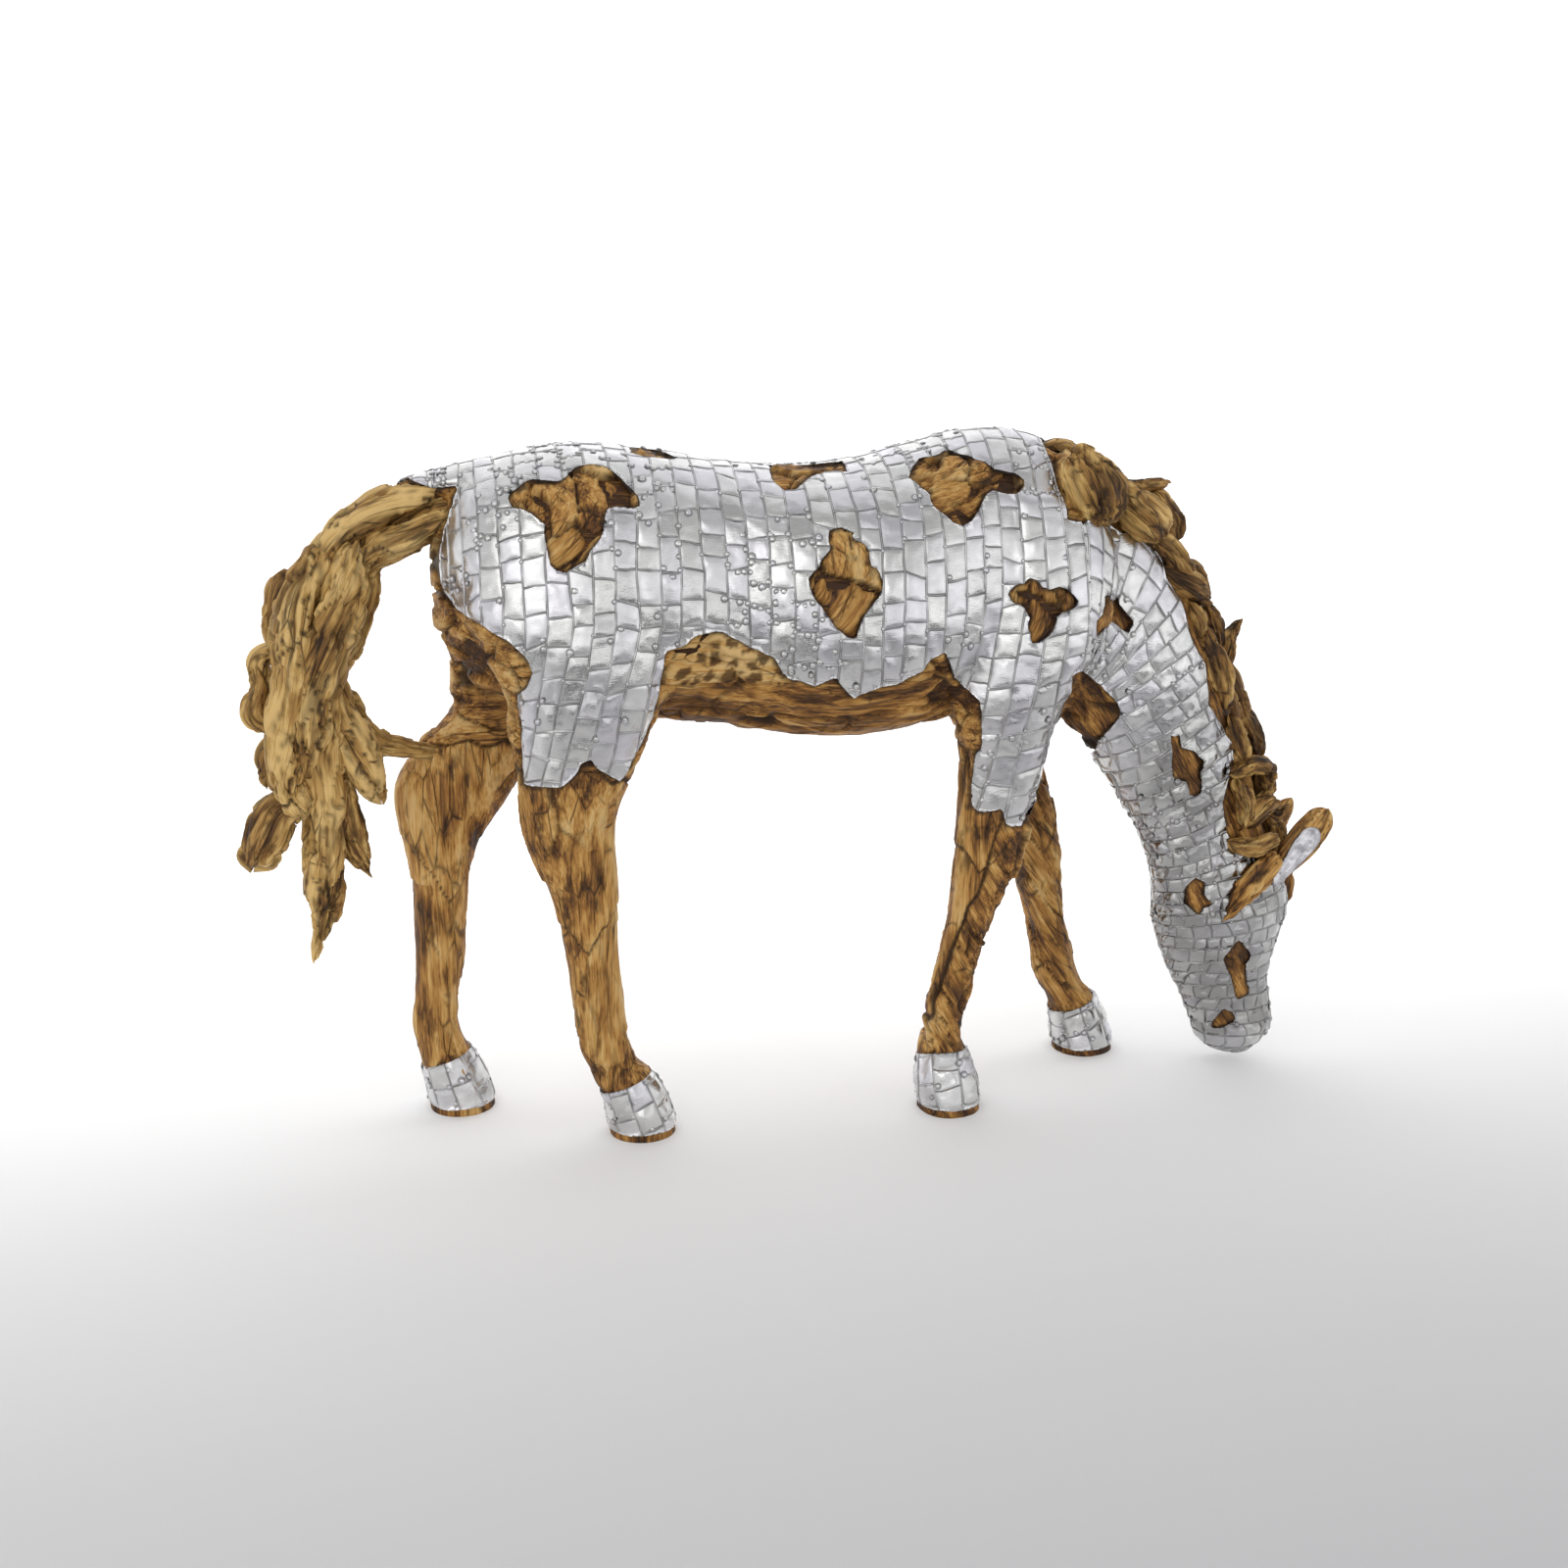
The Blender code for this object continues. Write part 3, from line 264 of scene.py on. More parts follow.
# Root-wood pieces, each a path from root to tip: x, y, z, half width seen from the side, half depth
TAIL = {
    "tail_root": [(-62, 0, 135.8, 2.4, 4), (-71, 0, 136.7, 3.8, 5), (-80.6, -1, 134.9, 4.2, 5.4),
        (-87.5, -1, 130.9, 4.4, 5.4), (-93, -1, 124.3, 4.6, 5), (-96.5, -1, 116.3, 3.4, 4)],
    "tail_under_slab": [(-63, -2, 134.8, 2.4, 4), (-70.5, -2, 133.3, 3.4, 4.6), (-77, -3, 130.3, 3.6, 4.8),
        (-84.4, -3, 126.3, 3.2, 4.2), (-88, -3, 120.8, 2, 3)],
    "tail_middle_strand": [(-87, -4, 129.3, 2.6, 3.2), (-89.5, -5, 120.3, 4.6, 4.4),
        (-93.3, -6, 109.8, 5, 4.6), (-97.2, -5, 100.3, 4.6, 4.4), (-99, -4, 91.3, 4, 4),
        (-100, -3, 82.3, 2, 2.4)],
    "tail_long_strand": [(-93.5, -3, 127.3, 2.6, 3.4), (-97.6, -4, 118.3, 4.6, 4.6),
        (-99.8, -4, 108.3, 4.8, 4.8), (-101.5, -4, 98.3, 4.6, 4.6), (-103.2, -3, 88.3, 4.4, 4.4),
        (-103.8, -3, 80.3, 3.6, 3.8), (-101.5, -3, 73.3, 1.8, 2)],
    "tail_inner_strand": [(-84.6, -1, 125.3, 2.2, 3), (-86.8, -1, 118.3, 3.6, 3.8),
        (-89.6, -1, 111.3, 4, 4), (-93, -1, 105.3, 3.6, 3.8), (-95.2, 0, 98.3, 2, 2.4)],
    "tail_lower_strand": [(-95, 0, 101.3, 3.6, 3.8), (-97.2, 0, 88.3, 5, 4.6), (-96.3, 0, 76.3, 4.6, 4.4),
        (-96.8, 0, 64.3, 4.4, 4), (-98, 0, 53.5, 3.4, 3.2), (-100.6, 0, 41.8, 0.6, 0.8)],
    "tail_burl": [(-93.8, 2, 103.3, 2.8, 3), (-91.6, 2, 91.8, 4.2, 4), (-88.4, 2, 82.3, 4.2, 3.8),
        (-85.6, 2, 74.9, 1.8, 2)],
    "tail_cross_branch": [(-91.5, 3, 95.3, 2, 2.4), (-86, 5, 86.8, 2.4, 2.4), (-80.5, 7, 84.1, 2, 2),
        (-74.5, 9, 82.5, 1.7, 1.7), (-67.5, 10, 81.3, 1.2, 1.2)],
    "tail_splinter": [(-94, 2, 80.3, 2.4, 2.6), (-92.8, 2, 73.3, 3.6, 3), (-91.4, 2, 65.8, 3.2, 2.6),
        (-88.4, 2, 58.6, 0.7, 0.8)],
    "tail_upper_knob": [(-97.5, 1, 122.8, 1.6, 2.4), (-101.5, 1, 118.8, 3.4, 3.4),
        (-104.3, 1, 111.3, 2.6, 2.8), (-103.5, 1, 106.3, 1.2, 1.6)],
    "tail_middle_knob": [(-102.5, 0, 106.8, 2, 2.6), (-107, 0, 105.3, 2.2, 2.6),
        (-107.4, 0, 99.8, 2.2, 2.6), (-108.4, 0, 94.8, 3.2, 3), (-104.5, 0, 91.3, 2, 2.4)],
    "tail_lower_knob": [(-103, 0, 90.8, 2, 2.6), (-106.8, 0, 85.1, 3, 3), (-107.8, 0, 79.3, 1.4, 1.6)],
    "tail_curl": [(-101, 0, 75.4, 3.2, 3.4), (-105.4, 0, 73.8, 4.2, 3.8), (-108.6, 0, 68.6, 4.8, 4),
        (-111.4, 0, 62.6, 3.4, 3)],
}

MANE = {
    "mane_big_lump": [(58.5, -11, 143.8, 3, 3), (60.5, -14, 139.3, 6, 4.6), (62.5, -14.5, 133.8, 6.2, 4.6),
        (62, -14, 128.8, 3, 2.8)],
    "mane_second_lump": [(69, -8, 136.8, 2.6, 3), (72.6, -9.5, 132.9, 4.8, 4), (77, -9.5, 129.5, 4.6, 3.8),
        (81, -8, 126.5, 2, 2.4)],
    "mane_side_1": [(78, -6, 127.3, 1.8, 2.4), (82, -7, 124.1, 3.2, 3.4), (86, -6.5, 119.6, 3.2, 3),
        (88.5, -5, 115.9, 1.6, 2)],
    "mane_side_2": [(81.8, -7, 118.6, 1.8, 2.2), (87.6, -7.5, 115.3, 3, 2.8), (94.4, -4.5, 111.1, 1.4, 1.8)],
    "mane_knot": [(88, -7.4, 111.3, 1.4, 1.6), (90, -7.8, 107.9, 2.1, 2), (91, -7.4, 104.3, 1.2, 1.4)],
    "mane_side_3": [(92.4, -6, 105.3, 1.6, 2.2), (94.6, -6.8, 99.8, 2.8, 2.8), (96.8, -6.8, 94.3, 2.8, 2.8),
        (98.6, -6, 87.1, 1.4, 1.8)],
    "mane_side_4": [(97, -2.5, 94.8, 2, 2.6), (100.2, -2.5, 87.9, 3, 3), (103.6, -2.5, 81.5, 2, 2.4)],
    "mane_side_5": [(99.6, -7, 85.3, 1.4, 2), (102, -7.5, 79.3, 2.6, 2.6), (103.4, -7.5, 74.9, 1.2, 1.6)],
    "mane_hook": [(100.4, -9, 73.3, 1.2, 1.6), (105.3, -8.6, 74.9, 2.1, 2.2), (110, -6, 73.1, 2, 2),
        (111.4, -5, 68.9, 1, 1.2)],
    "mane_side_6": [(101.5, -8.5, 71.3, 1.6, 2), (103.5, -9, 66.3, 2.4, 2.6), (104, -9, 60.9, 1.4, 1.8)],
    "mane_side_7": [(104, -7, 59.9, 1.8, 2.4), (107.6, -7, 63.9, 3.2, 3.2), (112.5, -4, 65.3, 2.2, 2.6)],
    "mane_cross_piece": [(99.4, -10.4, 57.6, 1.2, 1.5), (106, -10, 55.8, 2.3, 2.2),
        (112.6, -8, 57.2, 1.4, 1.8)],
    "mane_ridge_plate": [(55.5, 2, 145.2, 1.2, 3.6), (62, 2, 144.2, 1.8, 4.6), (69, 2, 140.9, 2, 4.6),
        (75, 2, 137.2, 1.4, 3)],
    "mane_stick": [(72.5, 0, 136.9, 1.4, 1.6), (77.5, 0, 135.9, 1.9, 1.8), (81, 0, 136.2, 1.6, 1.6),
        (84.6, 0, 136.5, 1, 1.1)],
    "mane_crest_1": [(81, 0, 135.3, 1.9, 2.6), (85.6, 0, 129.8, 2.9, 3.4), (87.6, 0, 124.8, 1.8, 2.4)],
    "mane_crest_2": [(88.6, 0, 120.3, 1.8, 2.6), (92, 0, 116.3, 2.8, 3.4), (95, 0, 111.1, 1.8, 2.4)],
    "mane_crest_3": [(95.6, 0, 110.3, 1.8, 2.6), (97.6, 0, 104.3, 2.7, 3.2), (98.8, 0, 98.3, 1.6, 2.2)],
    "mane_point_1": [(99.4, 0, 93.8, 1.8, 2.4), (100.8, 0, 100.3, 2.5, 2.8), (102.6, 0, 104.1, 1.4, 1.6),
        (104, 0, 105.8, 0.5, 0.6)],
    "mane_crest_4": [(101.4, 0, 96.3, 1.6, 2.4), (103.2, 0, 90.3, 2.9, 3.2), (105.8, 0, 84.3, 1.6, 2.2)],
    "mane_crest_5": [(104.6, 0, 85.9, 1.8, 2.4), (108.2, 0, 80.3, 2.9, 3.2), (110.8, 0, 74.3, 1.8, 2.4)],
    "mane_crest_6": [(110, 0, 74.8, 1.8, 2.4), (112, 0, 68.3, 2.9, 3.2), (113.4, 0, 61.4, 1.8, 2.4)],
    "mane_point_2": [(112.4, 0, 64.3, 1.6, 2), (115.6, 0, 61, 1.6, 1.8), (118.6, 0, 62.4, 0.5, 0.6)],
    "mane_crest_7": [(112.6, -1, 61.4, 1.8, 2.6), (114.8, -1, 56.4, 2.7, 3.2), (115.5, -1, 51.1, 1.6, 2.2)],
    "forelock_leaf": [(112.2, -8.5, 52.9, 1.8, 2), (108.2, -10.4, 50, 3.2, 2.2), (103.6, -11, 45.5, 2.8, 2),
        (99.6, -11, 40.1, 0.6, 0.8)],
    "forelock_chip": [(118.6, 1.5, 47.7, 1.2, 1.8), (121, 2, 43.8, 1.9, 2), (121.4, 2, 38.4, 1, 1.2)],
}

EARS = {
    "ear_near": [(112.3, -6, 46.4, 2.2, 2.2), (115.2, -7, 50.4, 3.1, 2), (118.6, -7.8, 55.2, 4.3, 1.6),
        (121.6, -8.3, 59.4, 4.1, 1.3), (124.4, -8.5, 63.4, 3, 1)],
    "ear_far": [(112.3, 6, 46.4, 2.2, 2.2), (115.2, 7, 50.4, 3.1, 2), (118.8, 7.8, 54.6, 3.6, 1.6),
        (121.8, 8.3, 58.2, 2.8, 1.3), (124.2, 8.5, 61.4, 1.6, 1)],
}

# Section lines across the sheet steel in side view: upper end x, z, lower end x, z, and for the trunk how
# far down the line its axis lies and how far it leans back below. The trunk's stand upright, from the dock
# to the breast. The neck's fan out from the shoulder and then square to the neck and head, down to the
# muzzle, with the axis halfway down.
TRUNK_SECTIONS = [
    (-82, 139.4, -82, 136.6, 0.5, 0), (-77, 139.8, -77, 136, 0.5, 0), (-73, 140.3, -73, 132, 0.5, 0),
    (-70, 141, -70, 104, 0.42, 0), (-66, 142, -66, 95, 0.42, 0), (-61, 143, -61, 88, 0.42, -1),
    (-55, 145, -55, 85, 0.4, -3), (-49, 146, -49, 85, 0.4, -5), (-43, 146.7, -43, 85, 0.4, -6.5),
    (-37, 146.5, -37, 85, 0.4, -7.5), (-31, 145.9, -31, 85, 0.4, -7), (-25, 145, -25, 85, 0.42, -4),
    (-19, 144, -19, 85, 0.42, -1), (-13, 143, -13, 85, 0.42, 0), (-7, 142.3, -7, 85, 0.42, 0),
    (-1, 141.8, -1, 85, 0.42, 0), (5, 142, 5, 85, 0.42, 0), (11, 142.6, 11, 85, 0.42, 0),
    (17, 143.6, 17, 85, 0.42, 0), (23, 145, 23, 85, 0.42, 0), (29, 146.6, 29, 85, 0.42, -1),
    (35, 148, 35, 82, 0.42, -3), (40, 148.6, 40, 80, 0.42, -4), (45, 148.7, 45.5, 80, 0.42, -5),
    (50, 147.8, 51.5, 80, 0.42, -5), (55, 146.2, 57, 83, 0.42, -3), (61, 143, 62, 86, 0.44, 0),
    (66, 140, 67, 88, 0.46, 0),
]
NECK_SECTIONS = [
    (54, 146.5, 57, 102), (60, 143.8, 59, 101), (66.5, 140, 60.5, 100), (73, 135.2, 62, 99),
    (79.5, 129, 63.5, 97.5), (85.5, 122, 65, 96), (90, 115.6, 66.5, 94), (94, 109, 68, 91),
    (97.2, 102.8, 70, 86.5), (100, 96.7, 72.5, 81), (102.3, 90.7, 75, 75.5), (104.5, 84.3, 77.5, 70),
    (106.5, 78, 80, 64.5), (108.5, 71.2, 82.3, 59), (110.3, 65, 84.2, 54), (112, 58.9, 85.4, 49.4),
    (114.2, 53.6, 86, 45.2), (116.2, 48.8, 86.3, 41.5), (118.1, 44, 86.5, 38.6), (119.4, 39.9, 86.8, 36.5),
    (118.5, 35.5, 87.9, 33), (117.3, 31.1, 89, 29.7), (116.5, 27.5, 90.4, 26.5), (115.8, 23.8, 91.8, 23.3),
    (116, 20.5, 93.4, 20.4), (116.4, 17, 95, 17.5), (117, 13.9, 96.2, 14.5), (117.6, 10.7, 97.4, 11.5),
    (116.6, 8.5, 98.5, 9.2), (115.8, 6.3, 99.6, 6.8), (113.5, 4.9, 102, 4.9), (111, 3.8, 104.5, 3.6),
]
# The line where the two meet, as x at heights z
NECK_LINE_Z = (80, 98, 104, 118, 150)
NECK_LINE_X = (70, 62.5, 60, 59.5, 57)

# Which way the grain runs in each patch, in degrees up from level
PATCH_GRAIN = {"rump": 65, "croup": 5, "saddle": 10, "withers": 25, "barrel": 75, "shoulder": 80,
               "neck_base": -40, "neck": 0, "cheek": 0, "face": 0, "nostril": 0}

# Where each leg's upper plates end in a point over its shaft: the tip's height, its place across the leg in
# half depths, and how steeply its edge climbs away from the tip
SLEEVES = {"near_hind": (43, -0.2, 9), "far_hind": (49, 0.3, 12), "near_fore": (56, -0.4, 10),
           "far_fore": (52, 0.2, 9)}
SLEEVE_STEP = 0.0055
SLEEVES_BELOW = 0.8

# Where sheet steel shows, in side view on the near side, and where it opens on wood
NEAR_OUTLINE = [
    (-83, 139), (-77, 141), (-72, 139), (-65, 140), (-67, 139), (-70, 131), (-72, 124), (-71, 120),
    (-68, 116), (-64, 114), (-59, 111), (-56, 108), (-55, 105), (-56, 102), (-58, 100), (-57, 93),
    (-57, 81), (-50, 81), (-47, 84), (-46, 86), (-44, 87), (-43, 85), (-38, 81), (-37, 83), (-32, 92),
    (-30, 101), (-29, 108), (-25, 109), (-23, 111), (-18, 112), (-13, 109), (-7, 106), (-5, 102), (1, 100),
    (5, 102), (9, 97), (13, 99), (18, 100), (23, 102), (25, 105), (28, 106), (31, 100), (37, 95), (38, 85),
    (37, 83), (37, 76), (37, 71), (39, 70), (43, 71), (44, 67), (52, 66), (58, 85), (57, 95), (56, 100),
    (60, 100), (67, 95), (72, 90), (72, 87), (69, 82), (66, 78.4), (80, 53), (82, 39), (89, 17.5), (97, 1),
    (104, -2), (113, -2), (124, 4), (123, 21.4), (127, 43), (118, 50), (100, 58), (98, 66), (99, 71),
    (101, 74), (100, 79), (97, 84), (93, 89), (92, 98), (88, 104), (86, 111), (82, 117), (80, 124),
    (74, 128), (71, 127), (65, 131), (55, 131), (55, 133), (54, 143), (54, 146), (62, 158), (-83, 158),
]
NEAR_PATCHES = {
    "rump": [(-58, 137.5), (-57.2, 138.8), (-55.2, 140.2), (-53.7, 141.1), (-51.8, 141.1), (-50, 140.9),
        (-48.5, 140.9), (-46.8, 141.4), (-45.6, 142.6), (-43.4, 143.4), (-41, 143.9), (-38.8, 143.2),
        (-37.1, 142.1), (-35.4, 140.3), (-33.5, 138.5), (-32.6, 136.7), (-32.9, 135.8), (-34.8, 135.7),
        (-37.3, 136.2), (-39.3, 135.9), (-39.9, 135.2), (-40.1, 134), (-40.4, 131.7), (-41.7, 129.9),
        (-43.1, 128.3), (-44.1, 126.5), (-46, 125.4), (-48.1, 124.1), (-49.9, 124.7), (-50.8, 125.6),
        (-51.1, 127.5), (-51.3, 129.6), (-51.8, 131.8), (-51.3, 133.1), (-52.9, 134.3), (-54.2, 135.5),
        (-55.6, 136), (-57.3, 136)],
    "croup": [(-33, 146), (-28, 146), (-23, 144), (-25, 144), (-33, 145)],
    "saddle": [(-4, 142), (-5, 140), (-3, 138), (-1, 138), (3, 140), (7, 141), (11, 141), (12, 143),
        (-3, 142)],
    "withers": [(22.5, 140.1), (23.9, 141.8), (26.1, 143.6), (29.6, 144.2), (32.7, 145.1), (33.9, 144.5),
        (36, 143.8), (38.1, 143), (39.5, 142.4), (40.8, 141.5), (43.5, 140.8), (45.4, 140.4), (47.7, 138.8),
        (46, 137.1), (45, 136.4), (42.6, 136.5), (40, 137.3), (38.2, 136.8), (37.4, 135.9), (36.5, 134.6),
        (35.5, 133), (34.2, 131.7), (31.9, 130.7), (30.3, 131.7), (28.4, 133.4), (26.6, 134.4),
        (25.9, 135.9), (26.1, 137.2), (24.7, 138.1), (23.9, 139)],
    "barrel": [(4.5, 130.7), (6.8, 131.1), (9.5, 130.3), (8.9, 128.9), (11.2, 128), (12.2, 126.1),
        (11.3, 124.3), (13.5, 123.4), (14.5, 120.9), (14.1, 118.8), (12.3, 116.7), (10, 114.1),
        (9.4, 112.4), (8.7, 109.7), (7, 110.1), (4.7, 112.1), (3.4, 113.8), (2.1, 116), (0.2, 118.2),
        (-0.7, 121.6), (0.7, 123.1), (2.4, 123.9), (2.2, 125.3), (4.5, 127.3), (3.9, 129)],
    "shoulder": [(41.9, 116.7), (42.7, 118.1), (43.7, 119), (45, 119.2), (46.2, 120.3), (47.7, 119.9),
        (48.6, 118.3), (50.3, 117.6), (52, 118.4), (53.7, 117.9), (55.2, 116.7), (56.5, 115.2), (55.7, 114),
        (53.7, 113.1), (51.5, 113.4), (51.6, 111.7), (51, 109.7), (49.2, 107.8), (47.3, 106.6),
        (46.1, 107.3), (46.2, 108.9), (45.5, 110.3), (46.3, 112.3), (44.7, 114.6), (43, 115.2)],
    "neck_base": [(60.8, 110.6), (62.4, 112), (63, 113.8), (62.9, 115.9), (63.7, 116), (64.9, 114.8),
        (66.4, 114.3), (67, 115.1), (69.3, 114), (69.8, 112.6), (71.6, 110.4), (73.4, 109.1), (73.1, 107.1),
        (71.8, 106.5), (70.5, 107.2), (68.9, 108.5), (67.3, 109.4), (65.2, 109), (63, 108.9), (61.4, 106.9)],
    "neck": [(84, 83), (86, 83), (87, 80), (90, 79), (93, 76), (92, 74), (93, 70), (92, 68), (90, 69),
        (89, 72), (86, 73), (85, 76), (85, 79)],
    "cheek": [(91, 46), (92, 48), (93, 49), (95, 48), (95, 45), (97, 43), (97, 43), (95, 42), (94, 40),
        (92, 42), (91, 43)],
    "face": [(101, 29), (102, 31), (104, 34), (106, 32), (108, 30), (108, 28), (107, 27), (108, 23),
        (109, 20), (109, 19), (106, 18), (105, 20), (104, 24), (102, 27)],
    "nostril": [(101, 13), (102, 14), (103, 16), (105, 15), (106, 13), (105, 12), (103, 11), (101, 11)],
}


def smooth_rows(rows, count):
    """Catmull-Rom rows through the given rows, evenly spaced by row number."""
    rows = np.array(rows, float)
    padded = np.vstack([2 * rows[0] - rows[1], rows, 2 * rows[-1] - rows[-2]])
    t = np.linspace(0, len(rows) - 1, count)
    i = np.minimum(t.astype(int), len(rows) - 2)
    f = (t - i)[:, None]
    p0, p1, p2, p3 = (padded[i + k] for k in range(4))
    return 0.5 * (2 * p1 + (p2 - p0) * f + (2 * p0 - 5 * p1 + 4 * p2 - p3) * f * f
                  + (3 * p1 - p0 - 3 * p2 + p3) * f ** 3)


def step(low, high, value):
    """A smooth rise from 0 at low to 1 at high."""
    t = np.clip((value - low) / (high - low), 0, 1)
    return t * t * (3 - 2 * t)


def scatter(cells, seed):
    """Numbers from 0 to 1, one for each whole-number cell, the same on every run."""
    mixed = (cells.astype(np.int64) * np.array([73856093, 19349663, 83492791])).sum(-1) + seed * 7368787
    mixed = (mixed ^ (mixed >> 13)) * 1274126177
    mixed = (mixed ^ (mixed >> 16)) & 0xFFFFFF
    return mixed / 0xFFFFFF


def noise(points, seed=0):
    """Smooth noise from -1 to 1 at points of three coordinates."""
    low = np.floor(points).astype(np.int64)
    f = points - low
    f = f * f * f * (f * (f * 6 - 15) + 10)
    total = 0
    for corner in range(8):
        offset = np.array([corner & 1, corner >> 1 & 1, corner >> 2 & 1])
        weight = np.prod(np.where(offset, f, 1 - f), axis=-1)
        total = total + weight * scatter(low + offset, seed)
    return total * 2 - 1


def clouds(points, octaves=3, seed=0):
    """Noise of several sizes, each half as wide and half as strong as the one before."""
    total = 0
    for k in range(octaves):
        total = total + noise(points * 2 ** k, seed + 31 * k) / 2 ** k
    return total / 1.6


def plates(points, seed=0):
    """Irregular cells: distance to the nearest edge, a number of its own, and place within it."""
    low = np.floor(points).astype(np.int64)
    nearest = np.full(len(points), FAR_AWAY)
    second = nearest.copy()
    own = np.zeros(len(points))
    along = np.zeros(len(points))
    for k in range(27):
        cell = low + np.array([k % 3 - 1, k // 3 % 3 - 1, k // 9 - 1])
        centre = cell + np.stack([scatter(cell, seed + s) for s in (1, 2, 3)], -1)
        away = np.linalg.norm(points - centre, axis=-1)
        closer = away < nearest
        second = np.where(closer, nearest, np.minimum(second, away))
        own = np.where(closer, scatter(cell, seed + 4), own)
        along = np.where(closer, points[:, 0] - centre[:, 0], along)
        nearest = np.where(closer, away, nearest)
    return second - nearest, own, along


def link(name, data):
    made = bpy.data.objects.new(name, data)
    bpy.context.scene.collection.objects.link(made)
    return made


def mesh_from(name, points, faces, values=None):
    """A smooth-shaded mesh, with per-point values kept as attributes for its material."""
    data = bpy.data.meshes.new(name)
    faces = faces.tolist() if isinstance(faces, np.ndarray) else faces
    data.from_pydata(np.asarray(points).tolist(), [], faces)
    for key, value in (values or {}).items():
        value = np.asarray(value, np.float32)
        kind, field = ("FLOAT", "value") if value.ndim == 1 else ("FLOAT_VECTOR", "vector")
        data.attributes.new(key, kind, "POINT").data.foreach_set(field, value.ravel())
    data.shade_smooth()
    return data


def threes(items, key, kind=np.float32):
    """Three numbers for each item of a mesh's collection."""
    numbers = np.empty(len(items) * 3, kind)
    items.foreach_get(key, numbers)
    return numbers.reshape(-1, 3)


def points_of(data):
    return threes(data.vertices, "co").astype(float)


def normals_of(data):
    return threes(data.vertex_normals, "vector").astype(float)


def loft_faces(rings, sides):
    """Faces of a tube of rings, with a fan at each end; the fans' middles are the last two points."""
    first, last = rings * sides, rings * sides + 1
    end = first - sides
    pairs = [(i, (i + 1) % sides) for i in range(sides)]
    faces = [(low + i, low + j, low + sides + j, low + sides + i)
             for low in range(0, end, sides) for i, j in pairs]
    for i, j in pairs:
        faces += [(j, i, first), (end + i, end + j, last)]
    return faces


def turns(count):
    return 2 * np.pi * np.arange(count) / count


def signed_power(value, power):
    return np.copysign(np.abs(value) ** power, value)


def capped(rings):
    """A tube's points ring by ring, then the middles of its first and its last ring."""
    return np.vstack([rings.reshape(-1, 3), rings[0].mean(0), rings[-1].mean(0)])


def ring_table(rows, grid):
    """The columns of a table of rings, in metres and made finer, and then the angles round a ring."""
    count, sides = grid
    return *(smooth_rows(rows, count).T[:, :, None] * CM), turns(sides)[None]


def torso_rings():
    x, top, bottom, half, widest, turn = ring_table(TORSO, TORSO_GRID)
    up, across = np.sin(turn), np.cos(turn)
    reach = np.where(up > 0, top - widest, widest - bottom)
    return np.stack([x + 0 * turn, half * signed_power(across, TORSO_FULLNESS), widest + reach * up], -1)


def dock_rings():
    x, z, tall, wide, turn = ring_table(TAIL_HEAD, DOCK_GRID)
    return np.stack([x + 0 * turn, wide * np.cos(turn), z + tall * np.sin(turn)], -1)


def neck_rings():
    crest_x, crest_z, throat_x, throat_z, half, turn = ring_table(NECK, NECK_GRID)
    up, across = np.sin(turn), np.cos(turn)
    return np.stack([(crest_x + throat_x) / 2 + (crest_x - throat_x) / 2 * up,
                     half * signed_power(across, NECK_FULLNESS),
                     (crest_z + throat_z) / 2 + (crest_z - throat_z) / 2 * up], -1)


def leg_rings(rows):
    x, y, z, depth, width, turn = ring_table(rows, LEG_GRID)
    return np.stack([x + depth * np.cos(turn), y + width * np.sin(turn), z + 0 * turn], -1)


def hoof_place(name):
    """The middle of a hoof's sole, in metres, and the angle of its toe."""
    sole_x, sole_y, toe_degrees = HOOVES[name]
    return sole_x * CM, sole_y * CM, math.radians(toe_degrees)


def hoof_rings(name):
    z, shift, length, width, turn = ring_table(HOOF_RINGS, HOOF_GRID)
    sole_x, sole_y, toe = hoof_place(name)
    ahead = shift + length * np.cos(turn)
    aside = width * np.sin(turn)
    return np.stack([sole_x + ahead * math.cos(toe) - aside * math.sin(toe),
                     sole_y + ahead * math.sin(toe) + aside * math.cos(toe), z + 0 * turn], -1)


def smooth_form(voxel, passes):
    """The whole horse as one skin, as the CAD solid is but finer."""
    limbs = [torso_rings(), dock_rings(), neck_rings()]
    for name, rows in LEGS.items():
        limbs += [leg_rings(rows), hoof_rings(name)]
    joined = bmesh.new()
    for rings in limbs:
        data = mesh_from("limb", capped(rings), loft_faces(*rings.shape[:2]))
        joined.from_mesh(data)
        bpy.data.meshes.remove(data)
    bmesh.ops.recalc_face_normals(joined, faces=joined.faces)
    data = bpy.data.meshes.new("form")
    joined.to_mesh(data)
    joined.free()
    made = link("form", data)
    remesh = made.modifiers.new("one skin", "REMESH")
    remesh.mode = "VOXEL"
    remesh.voxel_size = voxel
    blend = made.modifiers.new("blend limbs", "SMOOTH")
    blend.factor = 0.5
    blend.iterations = passes
    graph = bpy.context.evaluated_depsgraph_get()
    data = bpy.data.meshes.new_from_object(made.evaluated_get(graph), depsgraph=graph)
    bpy.data.objects.remove(made)
    return data


